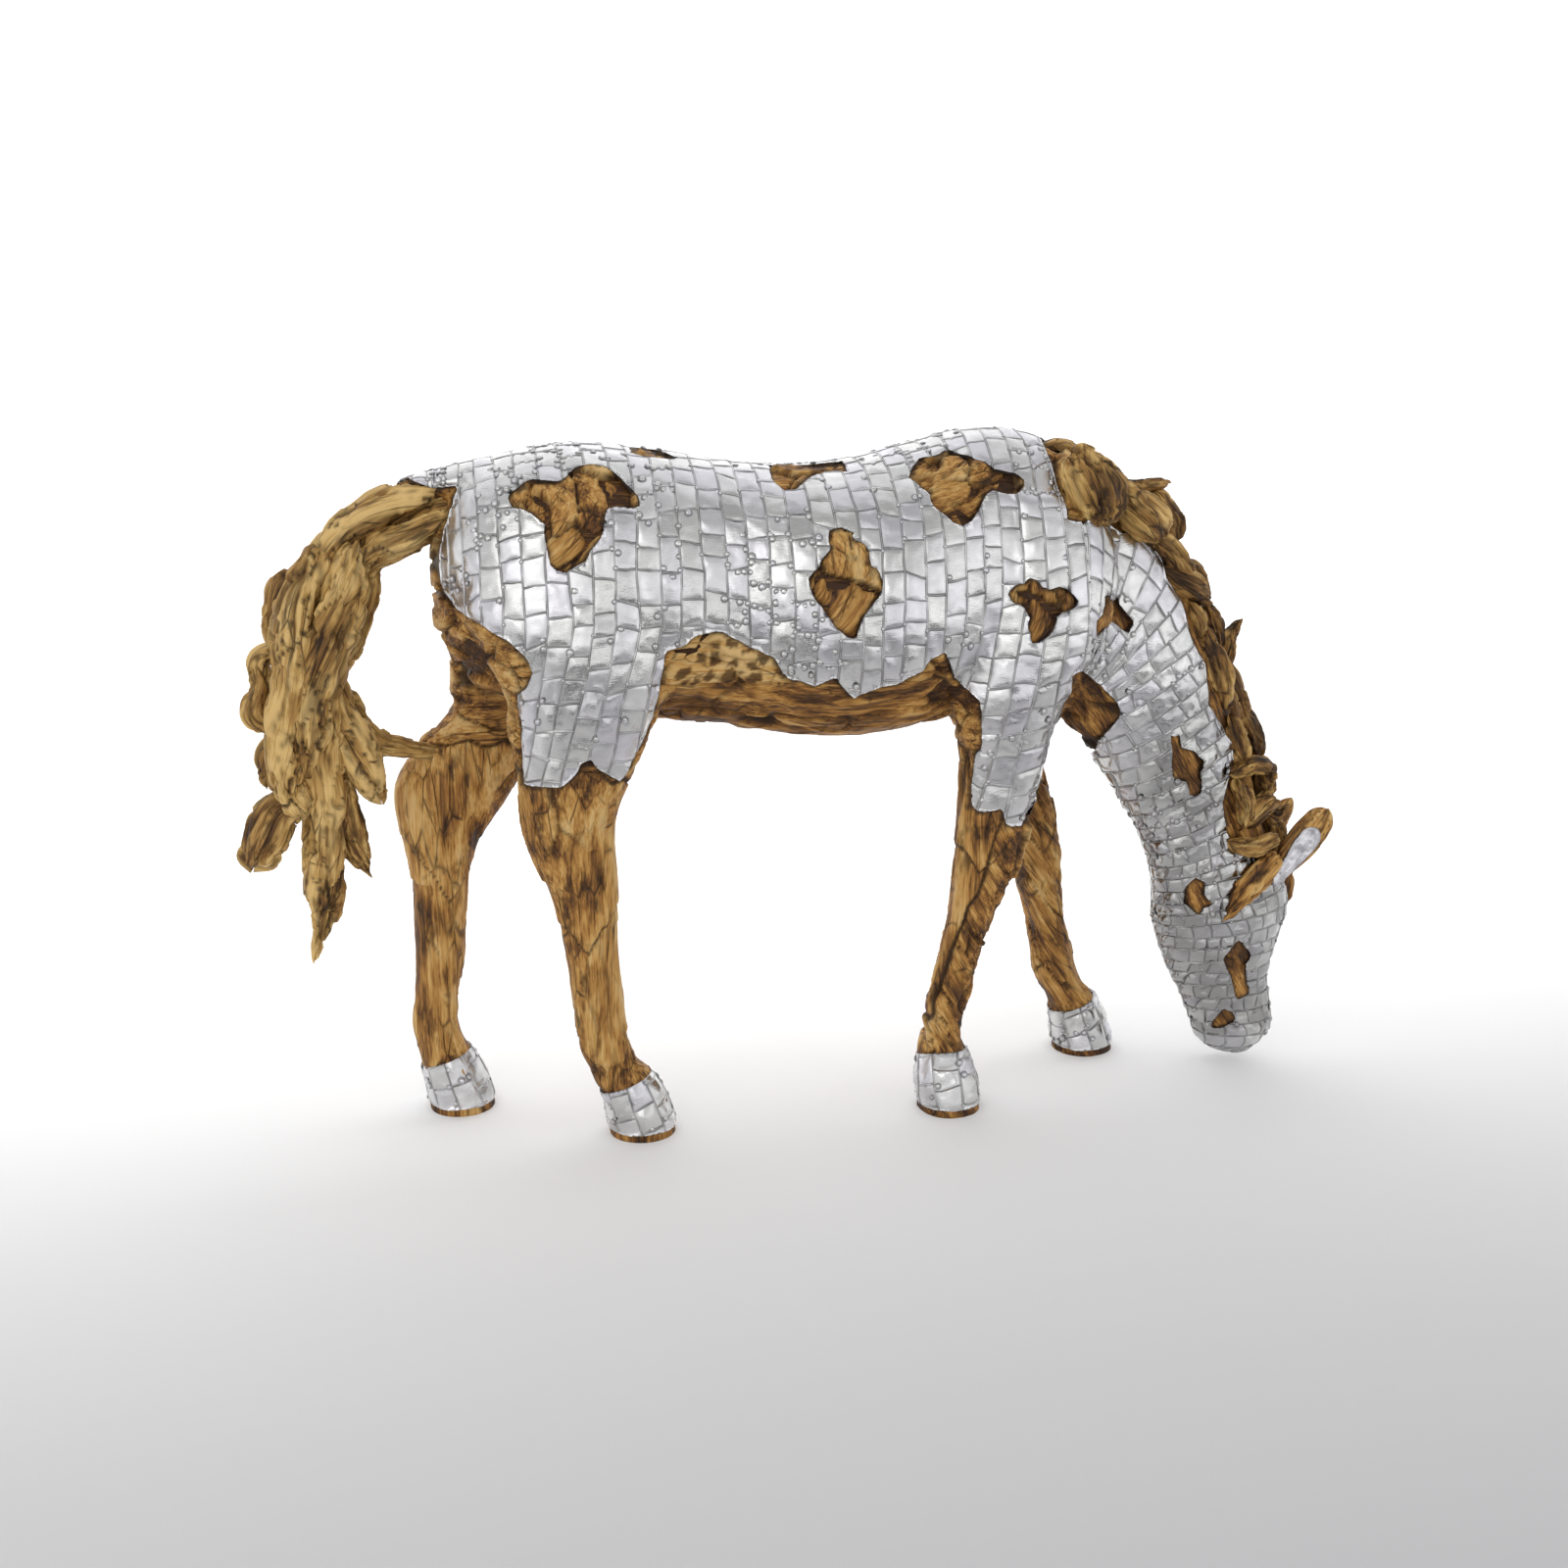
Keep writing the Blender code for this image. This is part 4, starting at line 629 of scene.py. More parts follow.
def side_distance(points, outline):
    """How far points of the side view lie inside a closed outline, below zero outside it."""
    outline = np.array(outline, float) * CM
    ahead = np.roll(outline, -1, axis=0)
    nearest = np.full(len(points), FAR_AWAY)
    inside = np.zeros(len(points), bool)
    px, pz = points[:, 0], points[:, 1]
    for (ax, az), (bx, bz) in zip(outline, ahead):
        dx, dz = bx - ax, bz - az
        t = np.clip(((px - ax) * dx + (pz - az) * dz) / max(dx * dx + dz * dz, 1e-12), 0, 1)
        nearest = np.minimum(nearest, np.hypot(px - ax - t * dx, pz - az - t * dz))
        if dz:
            crosses = (az > pz) != (bz > pz)
            inside ^= crosses & (px < ax + (pz - az) * dx / dz)
    return np.where(inside, nearest, -nearest)


def sheet_depth(side, outline, patches):
    """How far inside a sheet a point of the side view lies, below zero outside it and in its patches."""
    depth = side_distance(side, outline)
    for patch in patches.values():
        depth = np.minimum(depth, -side_distance(side, patch))
    return depth


def steel_distance(points, t):
    """How far inside the sheet steel's outline a point is, with ragged hand-cut edges.

    Below, each side's sheet ends at the midline, and the legs are bare on their inner sides.
    """
    x, y, z = points.T
    side = points[:, [0, 2]]
    near = sheet_depth(side, NEAR_OUTLINE, NEAR_PATCHES)
    far = sheet_depth(side, FAR_STEEL, FAR_PATCHES)
    depth = np.where(y < 0, near, far) + RAGGED * clouds(points / RAG_LENGTH, 2, 5)
    own_side = -y * np.sign(t) + MIDLINE_LAP
    depth = np.where(np.abs(t) > CREST_BAND, np.minimum(depth, own_side), depth)
    inner_y, inner_top, breast_x = INNER_LEG
    between_legs = np.maximum(np.abs(y) - inner_y, np.maximum(z - inner_top, x - breast_x))
    return np.minimum(depth, between_legs)


def lengths(chain):
    """Distances along a chain of points."""
    return np.concatenate([[0], np.cumsum(np.linalg.norm(np.diff(chain, axis=0), axis=1))])


def unbroken(chain, middle):
    """The first and last places of the chain's run round its middle without a leap."""
    leaps = np.flatnonzero(np.linalg.norm(np.diff(chain, axis=0), axis=1) > LEAP)
    before = leaps[leaps < middle]
    after = leaps[leaps >= middle]
    return (before[-1] + 1 if len(before) else 0), (after[0] if len(after) else len(chain) - 1)


def resampled(grid, spans, field):
    """Rows of vectors, read at even distances along each row."""
    rows = [[np.interp(grid, span, values) for values in row.T] for span, row in zip(spans, field)]
    return np.array(rows).swapaxes(1, 2)


class Chart:
    """A skin's surface points by distance along it (l) and distance round it from its crest (t)."""

    STEP = 0.004
    SLANT_ROWS = 6          # the slant is measured over this many rows of points
    SLANT_HEIGHT = 0.45     # at this share of the way from the crest to the near side's end
    LAST = 1.001            # keeps a place to be read inside the last cell

    def __init__(self, points, normals, middle, along):
        self.count = len(points)
        spans = [span - span[middle] for span in map(lengths, points)]
        ends = [unbroken(row, middle) for row in points]
        self.low = np.array([span[first] for span, (first, _) in zip(spans, ends)])
        self.high = np.array([span[last] for span, (_, last) in zip(spans, ends)])
        self.t0 = self.low.min()
        grid = np.arange(self.t0, self.high.max() + self.STEP, self.STEP)
        self.points = resampled(grid, spans, points)
        self.normals = resampled(grid, spans, normals)
        self.l = along
        self.skew = self.slant(points, spans)

    def slant(self, points, spans):
        """How fast t rises along the skin square to the section lines, at mid-height on the near side."""
        apart = self.SLANT_ROWS
        skew = np.zeros(self.count)
        for i in range(self.count - apart):
            high = min(self.high[i], self.high[i + apart])
            start = np.searchsorted(spans[i], self.SLANT_HEIGHT * high)
            nearest = np.linalg.norm(points[i + apart] - points[i, start], axis=1).argmin()
            rise = spans[i + apart][nearest] - spans[i][start]
            skew[i] = rise / max(self.l[i + apart] - self.l[i], 0.01)
        return np.convolve(np.clip(skew, -1, 1), np.ones(9) / 9, "same")

    def look(self, field, l, t):
        """A field's value between its rows and columns."""
        i = np.clip(np.interp(l, self.l, np.arange(self.count)), 0, self.count - self.LAST)
        j = np.clip((t - self.t0) / self.STEP, 0, field.shape[1] - self.LAST)
        i0, j0 = i.astype(int), j.astype(int)
        fi, fj = (i - i0)[..., None], (j - j0)[..., None]
        return ((field[i0, j0] * (1 - fj) + field[i0, j0 + 1] * fj) * (1 - fi)
                + (field[i0 + 1, j0] * (1 - fj) + field[i0 + 1, j0 + 1] * fj) * fi)

    def at(self, l, t):
        normal = self.look(self.normals, l, t)
        return self.look(self.points, l, t), normal / np.linalg.norm(normal, axis=-1, keepdims=True)

    def inside(self, l, t):
        return (t > np.interp(l, self.l, self.low)) & (t < np.interp(l, self.l, self.high))


def body_chart(tree, sections, reach):
    """The outermost skin met by rays fanned round each section line."""
    rows = smooth_rows(sections, (len(sections) - 1) * ROWS_BETWEEN + 1)
    angles = np.radians(np.arange(-FAN, FAN + 1, 1.0))
    points = np.zeros((len(rows), len(angles), 3))
    normals = np.zeros_like(points)
    for i, (top_x, top_z, low_x, low_z, share, lean) in enumerate(rows):
        up = Vector((top_x - low_x, 0, top_z - low_z)).normalized()
        axis = Vector((top_x + (low_x - top_x) * share, 0, top_z + (low_z - top_z) * share)) * CM
        for j, angle in enumerate(angles):
            out = up * math.cos(angle) + Vector((0, -math.sin(angle), 0))
            place = Vector(axis)
            for again in range(2 if lean else 1):
                hit, normal = tree.ray_cast(place + out * reach, -out, reach)[:2]
                if hit is None:
                    break
                below = max(0.0, LEAN_FROM - hit.z / CM)
                place = axis + Vector((lean * CM * below / LEAN_OVER, 0, 0))
            if hit is None:
                hit, normal = (Vector(points[i, j - 1]), Vector(normals[i, j - 1])) if j else (axis, out)
            points[i, j] = hit
            normals[i, j] = normal
    for again in range(3):
        normals[:, 1:-1] = (normals[:, :-2] + 2 * normals[:, 1:-1] + normals[:, 2:]) / 4
        normals[1:-1] = (normals[:-2] + 2 * normals[1:-1] + normals[2:]) / 4
    flank = int(np.abs(angles - math.radians(FLANK)).argmin())
    return Chart(points, normals, len(angles) // 2, lengths(points[:, flank]))


def hoof_chart(tree, name):
    """A hoof's skin, l round it from heel to heel and t up it from the floor."""
    sole_x, sole_y, toe = hoof_place(name)
    heights = np.arange(-0.03, HOOF_REACH, 0.003)
    angles = np.radians(np.arange(-180, 181, 3.0))
    points = np.zeros((len(angles), len(heights), 3))
    normals = np.zeros_like(points)
    for i, angle in enumerate(angles):
        out = Vector((math.cos(angle + toe), math.sin(angle + toe), 0))
        for j, height in enumerate(heights):
            level = max(0.006, height)
            back = -PASTERN_LEAN * max(0.0, level - PASTERN_FROM)
            axis = Vector((sole_x + back * math.cos(toe), sole_y + back * math.sin(toe), level))
            hit, normal = tree.ray_cast(axis + out * HOOF_REACH, -out, HOOF_REACH)[:2]
            points[i, j] = hit if hit else axis
            points[i, j, 2] = height
            normals[i, j] = normal if hit else out
    return Chart(points, normals, 0, (angles + np.pi) * HOOF_RADIUS)


def across_tile(size):
    """Where a tile's mesh has lines, as shares of its size: seam, foot, groove, face, groove, foot, seam."""
    near = np.array(SEAM_PLACES) / size
    return np.concatenate([near, FACE_SHARES, 1 - near[::-1]])


def laid_tiles(chart, strips, heights, random):
    """One row for each tile: its strip, where it begins and ends along it, and the tilt of those ends."""
    low, high = chart.low.min(), chart.high.max()
    tiles = []
    for k in range(len(strips) - 1):
        height = heights((strips[k] + strips[k + 1]) / 2)
        t = low - height * (0.5 * (k % 2) + 0.3 * random.random())
        tilt = random.normal(0, TILT)
        while t < high:
            tall = height * random.uniform(*TILE_LENGTHS)
            next_tilt = random.normal(0, TILT)
            tiles.append((k, t, t + tall, tilt, next_tilt))
            t, tilt = t + tall, next_tilt
    return np.array(tiles)


def both_ways(lines):
    """The same values for the lines across a tile and for those along it."""
    lines = np.array(lines + (0,) * len(FACE_SHARES) + lines[::-1])
    return lines[None, :, None], lines[None, None, :]


def grid_faces(rows, columns):
    """Two triangles for each cell of a grid of points."""
    cell = []
    for i in range(rows - 1):
        for p in range(i * columns, (i + 1) * columns - 1):
            q = p + columns
            cell += [(p, q, q + 1), (p, q + 1, p + 1)]
    return cell


def repeated(cell, points, count):
    """The faces of one small mesh, again for each of its copies."""
    return (np.array(cell)[None] + points * np.arange(count)[:, None, None]).reshape(-1, 3)


def tile_mesh(chart, strips, heights, seed, inside, first=0):
    """Tiles between the seams at l in strips, each about heights(l) long, cut to the sheet's outline.

    first is the number of the first seam, which a neighbouring sheet may share.
    """
    random = np.random.default_rng(seed)
    tiles = laid_tiles(chart, strips, heights, random)
    count = len(tiles)
    k = tiles[:, 0].astype(int)
    begin, end, tilt, next_tilt = tiles.T[1:, :, None, None]
    wide = (strips[k + 1] - strips[k]).mean()
    a = across_tile(wide)[None, :, None]
    b = across_tile((tiles[:, 2] - tiles[:, 1]).mean())[None, None, :]
    t = (begin + tilt * (a - 0.5) * 2) * (1 - b) + (end + next_tilt * (a - 0.5) * 2) * b
    lean = np.interp(strips[k] + wide / 2, chart.l, chart.skew)[:, None, None] * wide
    t = t + lean * (a - 0.5) * np.clip(t / 0.08, -1, 1)
    edges = [strips[k + s][:, None, None] + seam_wander(k[:, None, None] + s + first, t) for s in (0, 1)]
    l = edges[0] * (1 - a) + edges[1] * a
    t = t + 0.0016 * noise(np.stack([l / 0.013, t / 0.03, 0 * l + seed], -1), 3)
    points, normals = chart.at(l, t)
    crinkle = 1 + CRINKLE * step(CRINKLE_FROM, CRINKLE_TO, points[..., 2])
    pillow = 16 * a * (1 - a) * b * (1 - b)
    amount = random.uniform(*PUFF, count)[:, None, None] * crinkle
    slope_a = random.normal(0, SLOPE, count)[:, None, None] * crinkle
    slope_b = random.normal(0, SLOPE, count)[:, None, None] * crinkle
    dents = clouds(np.stack([l / DENT_SIZE, t / DENT_SIZE, 0 * l + 7.7], -1), 2, seed + 9) * DENT * crinkle
    face = pillow * amount + slope_a * (a - 0.5) + slope_b * (b - 0.5) + dents * np.minimum(1, pillow * 2)
    raised_a, raised_b = both_ways(SEAM_HEIGHTS)
    shade_and_dirt_a, shade_and_dirt_b = both_ways(SEAM_SHADE_AND_DIRT)
    on_face = (raised_a == 0) & (raised_b == 0)
    crest = (raised_a == 1) | (raised_b == 1)
    seam = np.maximum(*(np.where(raised == 0, -FAR_AWAY, raised) for raised in (raised_a, raised_b)))
    lift = SHEET + np.where(on_face, face, seam * BEAD) + 0 * l
    own = np.broadcast_to(random.random(count)[:, None, None], l.shape)
    # Painted shade and dirt: darkest in the groove beside each bead, faint on the crest
    groove = np.where(crest, SEAM_SHADE_AND_DIRT[0], np.maximum(shade_and_dirt_a, shade_and_dirt_b)) + 0 * l
    thinned = noise(np.stack([l / 0.017, t / 0.017, 0 * l + seed], -1), 19)
    groove = groove * np.clip(0.75 + 0.5 * thinned, 0.3, 1)
    values = {"lift": lift, "own": own, "groove": groove, "down": -normals[..., 2],
              "valid": chart.inside(l, t).astype(float), "t": t}
    faces = repeated(grid_faces(*l.shape[1:]), l.shape[1] * l.shape[2], count)
    values = {key: value.reshape(-1) for key, value in values.items()}
    return clipped(points.reshape(-1, 3), normals.reshape(-1, 3), faces, values, inside), tiles


def seam_wander(k, t):
    """How far the seam between two strips strays at a place along it."""
    k = k + 0 * t
    return 0.0042 * noise(np.stack([k * 7.3, t / 0.12, 0 * t], -1), 11) \
        + 0.0014 * noise(np.stack([k * 5.1, t / 0.03, 0 * t], -1), 12)


def with_cuts(values, inner, outer, share):
    """Values, and after them those at the new points on the cut triangles' sides."""
    return np.concatenate([values, values[inner] * (1 - share) + values[outer] * share])


def clipped(points, normals, faces, values, inside):
    """The part of a mesh inside the steel's outline, with a rim turned down where it was cut and darkened
    towards its foot as painted shade.
    """
    faces = faces[values.pop("valid")[faces].min(1) > 0.5]
    depth = inside(points, values["t"])
    values["lift"] = values["lift"] * (0.5 + 0.5 * step(0, EDGE_BEND, depth))
    kept = depth[faces] > 0
    count = kept.sum(1)
    cut = (count == 1) | (count == 2)
    mixed, marks = faces[cut], kept[cut]
    single = count[cut] == 1
    two = ~single
    odd = np.where(single, marks.argmax(1), (~marks).argmax(1))
    rows = np.arange(len(mixed))
    tip, left, right = (mixed[rows, (odd + turn) % 3] for turn in range(3))
    inner, outer = np.concatenate([tip, tip]), np.concatenate([left, right])
    share = depth[inner] / (depth[inner] - depth[outer])
    at_left = len(points) + rows
    at_right = at_left + len(mixed)
    points, normals = (with_cuts(field, inner, outer, share[:, None]) for field in (points, normals))
    values = {key: with_cuts(value, inner, outer, share) for key, value in values.items()}
    faces = np.concatenate([faces[count == 3],
                            np.stack([tip, at_left, at_right], 1)[single],
                            np.stack([at_left, left, right], 1)[two],
                            np.stack([at_left, right, at_right], 1)[two]])
    rim = np.concatenate([np.stack([at_right, at_left], 1)[single], np.stack([at_left, at_right], 1)[two]])
    points = points + normals * values["lift"][:, None]
    used, rim_index = np.unique(rim, return_inverse=True)
    one, other = rim_index.reshape(rim.shape).T
    low_one, low_other = len(points) + one, len(points) + other
    walls = np.concatenate([np.stack([used[one], low_one, low_other], 1),
                            np.stack([used[one], low_other, used[other]], 1)])
    points = np.vstack([points, points[used] - normals[used] * SKIRT])
    values = {key: np.concatenate([value, value[used]]) for key, value in values.items()}
    # Painted shade: the foot of the turned-down rim is darkened where it meets the wood
    values["groove"][len(points) - len(used):] = 0.5
    return points, np.concatenate([faces, walls]), values


def trunk_side(points):
    """How far a point lies on the trunk's side of the line where the neck's tiles begin."""
    line = np.interp(points[:, 2] / CM, NECK_LINE_Z, NECK_LINE_X) * CM
    return line - points[:, 0] + 0.004 * noise(points / 0.03, 15)


def rivets(chart, tiles, strips, density, seed, inside, first=0):
    """Low rivets near tiles' corners and edges, thick in some places and rare in others, and weld drops."""
    random = np.random.default_rng(seed)
    heads = []
    for k, low, high, *_ in tiles:
        k = int(k)
        if random.random() < WELD_DOT_SHARE:
            l = strips[k] + float(seam_wander(k + first, low)) + random.normal(0, 0.001)
            t = low + random.normal(0, 0.001)
            heads.append((l, t, WELD_DOT * random.uniform(0.7, 1.2)))
        for a, b in RIVET_SPOTS:
            l = strips[k] + (strips[k + 1] - strips[k]) * (a + random.normal(0, SPOT_STRAY))
            t = low + (high - low) * (b + random.normal(0, SPOT_STRAY))
            if random.random() < density(l, t):
                heads.append((l, t, RIVET * random.uniform(0.8, 1.25)))
    l, t, sizes = np.array(heads).T
    keep = chart.inside(l, t)
    t, sizes = t[keep], sizes[keep]
    centre, normal = chart.at(l[keep], t)
    keep = inside(centre, t) > RIVET_GRIP * RIVET
    return domes(centre[keep] + normal[keep] * (SHEET + 0.0003), normal[keep], sizes[keep], random)


def domes(centre, normal, sizes, random):
    """One low dome for each centre and normal, in a dark ring of painted shade and dirt."""
    aside = np.cross(normal, [0.3, 0.8, 0.5])
    aside /= np.linalg.norm(aside, axis=1, keepdims=True)
    centre, normal, aside, other = (row[:, None] for row in (centre, normal, aside, np.cross(normal, aside)))
    size = sizes[:, None, None]
    turn = turns(DOME_SIDES)[None, :, None]
    rings = [centre + size * (out * (np.cos(turn) * aside + np.sin(turn) * other) + up * normal)
             for out, up in DOME_RINGS]
    points = np.concatenate(rings + [centre + size * DOME_TOP * normal], 1)
    top = len(DOME_RINGS) * DOME_SIDES
    cell = []
    for p in range(0, top - DOME_SIDES, DOME_SIDES):
        q = p + DOME_SIDES
        for i in range(DOME_SIDES):
            j = (i + 1) % DOME_SIDES
            cell += [(p + i, p + j, q + j), (p + i, q + j, q + i)]
    cell += [(top - DOME_SIDES + i, top - DOME_SIDES + (i + 1) % DOME_SIDES, top) for i in range(DOME_SIDES)]
    shade_and_dirt = np.repeat(DOME_SHADE_AND_DIRT, [DOME_SIDES] * 3 + [DOME_SIDES + 1])
    own = np.repeat(random.random(len(centre)), top + 1)
    values = {"groove": np.tile(shade_and_dirt, len(centre)), "own": own, "down": np.repeat(-normal[:, 0, 2], top + 1)}
    return points.reshape(-1, 3), repeated(cell, top + 1, len(centre)), values


def joined(parts):
    """Several points-faces-values meshes as one."""
    points, faces, values = [], [], {"groove": [], "own": [], "down": []}
    base = 0
    for part_points, part_faces, part_values in parts:
        points.append(part_points)
        faces.append(part_faces + base)
        for key in values:
            values[key].append(part_values[key])
        base += len(part_points)
    return np.vstack(points), np.vstack(faces), {key: np.concatenate(value) for key, value in values.items()}


def without_spares(points, faces, values):
    """A mesh without the points that no face uses."""
    used, index = np.unique(faces, return_inverse=True)
    return points[used], index.reshape(faces.shape), {key: value[used] for key, value in values.items()}


def place(name, points, faces, values, finish, slot, *nodes):
    """A finished piece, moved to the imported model's frame, in place of the CAD nodes it stands for."""
    made = link(name, mesh_from(name, np.asarray(points) + SHIFT, faces, values))
    made.data.materials.append(finish)
    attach(made, "root")
    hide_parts(*nodes)


def steel_pieces(tree, finish):
    """The riveted skin over trunk, neck and head, in three pieces along the horse."""
    trunk = body_chart(tree, TRUNK_SECTIONS, TRUNK_REACH)
    crest = trunk.points[:, int(round(-trunk.t0 / trunk.STEP)), 0]
    waist = float(np.interp(WAIST * CM, crest, trunk.l))
    rump_strips = np.arange(0, waist, TILE_WIDTH)
    barrel_strips = np.arange(rump_strips[-1], trunk.l[-1], TILE_WIDTH)

    def on_trunk(points, t):
        return np.minimum(steel_distance(points, t), trunk_side(points) + SHEET_LAP)

    def trunk_tile(l):
        return TILE_HEIGHT

    shared = len(rump_strips) - 1
    sheet("steel_rump", trunk, rump_strips, trunk_tile, on_trunk, 1, finish)
    sheet("steel_barrel", trunk, barrel_strips, trunk_tile, on_trunk, 2, finish, shared)

    neck = body_chart(tree, [(*row, 0.5, 0) for row in NECK_SECTIONS], NECK_REACH)
    head_start = neck.l[-1] - HEAD_LENGTH

    def on_head(l):
        return step(head_start, head_start + HEAD_FADE, l)

    def neck_tile(l):
        return TILE_HEIGHT - SHORTER * on_head(l)

    def on_neck(points, t):
        return np.minimum(steel_distance(points, t), SHEET_LAP - trunk_side(points))

    strips = [0.0]
    while strips[-1] < neck.l[-1] - 0.02:
        strips.append(strips[-1] + TILE_WIDTH - NARROWER * on_head(strips[-1]))
    sheet("steel_neck", neck, np.array(strips), neck_tile, on_neck, 3, finish)


def riveted(chart, strips, tile_height, rivet_chance, seeds, inside, first=0):
    """Tiles and rivets over one stretch of a chart, as one mesh."""
    skin, tiles = tile_mesh(chart, strips, tile_height, seeds[0], inside, first)
    heads = rivets(chart, tiles, strips, rivet_chance, seeds[1], inside, first)
    return without_spares(*joined([skin, heads]))


def sheet(name, chart, strips, tile_height, inside, seed, finish, first=0):
    """One piece of the skin over trunk and neck."""
    def rivet_chance(l, t):
        busy = noise(np.array([[l / 0.13, t / 0.16, 4.2 + seed]]), 23)[0]
        return 0.025 + 0.42 * step(0.1, 0.55, busy)

    seeds = (seed, 51 + seed)
    points, faces, values = riveted(chart, strips, tile_height, rivet_chance, seeds, inside, first)
    values["dull_and_shade"] = dullness_and_painted_shade(points, values.pop("down"), values["own"])
    place(name, points, faces, values, finish, "riveted_steel", "steel_cladding")


def dullness_and_painted_shade(points, down, own):
    """How dull and dark the steel is: most on the head and the lower neck and low on the body, and along the
    body's underside, where the darkening is painted shade on the surfaces that face down.
    """
    x, y, z = points.T
    forward = step(0.62, 0.95, x - 0.35 * (z - 1.0))
    head = 0.6 * (forward * step(1.3, 0.75, z))
    # Painted shade: steel that faces down is made darker, as if in shadow
    under = 0.56 * (step(0.2, 0.8, down) * step(0.6, 0.8, z))
    low = 0.28 * step(1.05, 0.9, z)
    darkened = np.maximum(np.maximum(head, under), low)
    blotch = 0.5 * clouds(points / 0.07, 3, 91) + 0.4 * (own - 0.5)
    return np.clip(darkened + blotch * (0.2 + 0.9 * darkened), 0, 1)


def cuff(tree, name, finish):
    """The steel cuff round one hoof, from a bare sole band to an edge that climbs towards the toe."""
    chart = hoof_chart(tree, name)
    sole_x, sole_y, toe = hoof_place(name)

    def inside(points, t):
        forward = (points[:, :2] - [sole_x, sole_y]) @ [math.cos(toe), math.sin(toe)]
        top = CUFF_TOP * CM + CUFF_CLIMB * forward
        ragged = 0.5 * RAGGED * clouds(points / RAG_LENGTH, 2, 8)
        return np.minimum(points[:, 2] - SOLE_BAND, top - points[:, 2]) + ragged

    strips = np.linspace(0, chart.l[-1], CUFF_STRIPS + 1)
    seed = seed_of(name)
    points, faces, values = riveted(chart, strips, lambda l: CUFF_TILE, lambda l, t: CUFF_RIVETS,
                                    (seed, seed), inside)
    values["dull_and_shade"] = np.clip(0.25 + 0.5 * clouds(points / 0.05, 2, 92), 0, 1)
    del values["down"]
    place("cuff_" + name, points, faces, values, finish, "riveted_steel", "hoof_steel_" + name)


def seed_of(name):
    return sum(map(ord, name))


def carving(grain, length, width, depth, seed=40, gap=0.06, parted=0.0):
    """Root-wood plates laid along the grain: height over the form, shade that is darker where the carving is
    lower as painted shade, and dark joints between them.

    gap is the joints' width as a share of a plate, and a higher parted opens more of them.
    """
    bent = grain + 0.016 * np.stack([clouds(grain / 0.08, 2, s) for s in (61, 62, 63)], -1)
    edge, own, along = plates(bent / [length, width, width], seed)
    ripple = clouds(bent / [0.16, 0.035, 0.035], 3, 44)
    ridge = 1 - 2 * np.abs(clouds(bent / [0.11, 0.02, 0.02], 2, 47))
    opened = step(-0.3, 0.25, clouds(grain / 0.1, 1, 52) + parted)
    crack = (1 - step(0.3 * gap, gap, edge + 0.5 * gap * ripple)) * opened
    height = depth * (0.8 * (own - 0.6) - 0.45 * along + 0.55 * ripple + 0.16 * ridge - 0.6 * crack)
    # Painted shade: each plate's own number, the ripples and the ridges raise the carving and lighten it
    # alike, so lower plates and hollows are darker
    shade = 0.5 + (0.34 + 0.2 * parted) * (own - 0.5) + 0.34 * ripple + 0.12 * ridge
    return height, shade, crack


def triangles_of(data):
    data.calc_loop_triangles()
    return threes(data.loop_triangles, "vertices", np.int32)


def carved_regions(points):
    """Carving of neck, legs, patches and trunk, each along its own grain, and how near their joints are."""
    x, y, z = points.T
    stray = clouds(points / 0.09, 2, 70)
    to_neck = x - 0.56 - 0.3 * (z - 1.1) + 0.02 * stray
    to_leg = 0.83 + 0.06 * stray - z
    upright = np.stack([z, x * 0.9, y], -1)
    level = patch_grain(points)
    down_neck = np.stack([0.53 * x - 0.85 * z, 0.85 * x + 0.53 * z, y], -1)
    turned = level * [1, 1, 0.6]
    carved = zip(carving(down_neck, 0.28, 0.07, 0.014),
                 carving(upright, 0.3, 0.075, 0.008, parted=-0.25),
                 carving(turned, 0.17, 0.065, 0.02, 46, 0.08, 0.4),
                 carving(turned, 0.13, 0.06, 0.02, 45, 0.09, 0.4),
                 carving(level, 0.42, 0.085, 0.016))
    on_neck, on_leg, in_patch = to_neck > 0, to_leg > 0, z > PATCHES_ABOVE
    regions = [on_neck, on_leg, in_patch & (x < HIND_END), in_patch]
    height, shade, crack = (np.select(regions, values[:-1], values[-1]) for values in carved)
    grain = np.where(on_neck[:, None], down_neck, np.where(on_leg[:, None], upright, level))
    joint = np.minimum(np.abs(to_neck), np.abs(to_leg) + on_neck)
    return height, shade, crack, grain, joint, to_neck


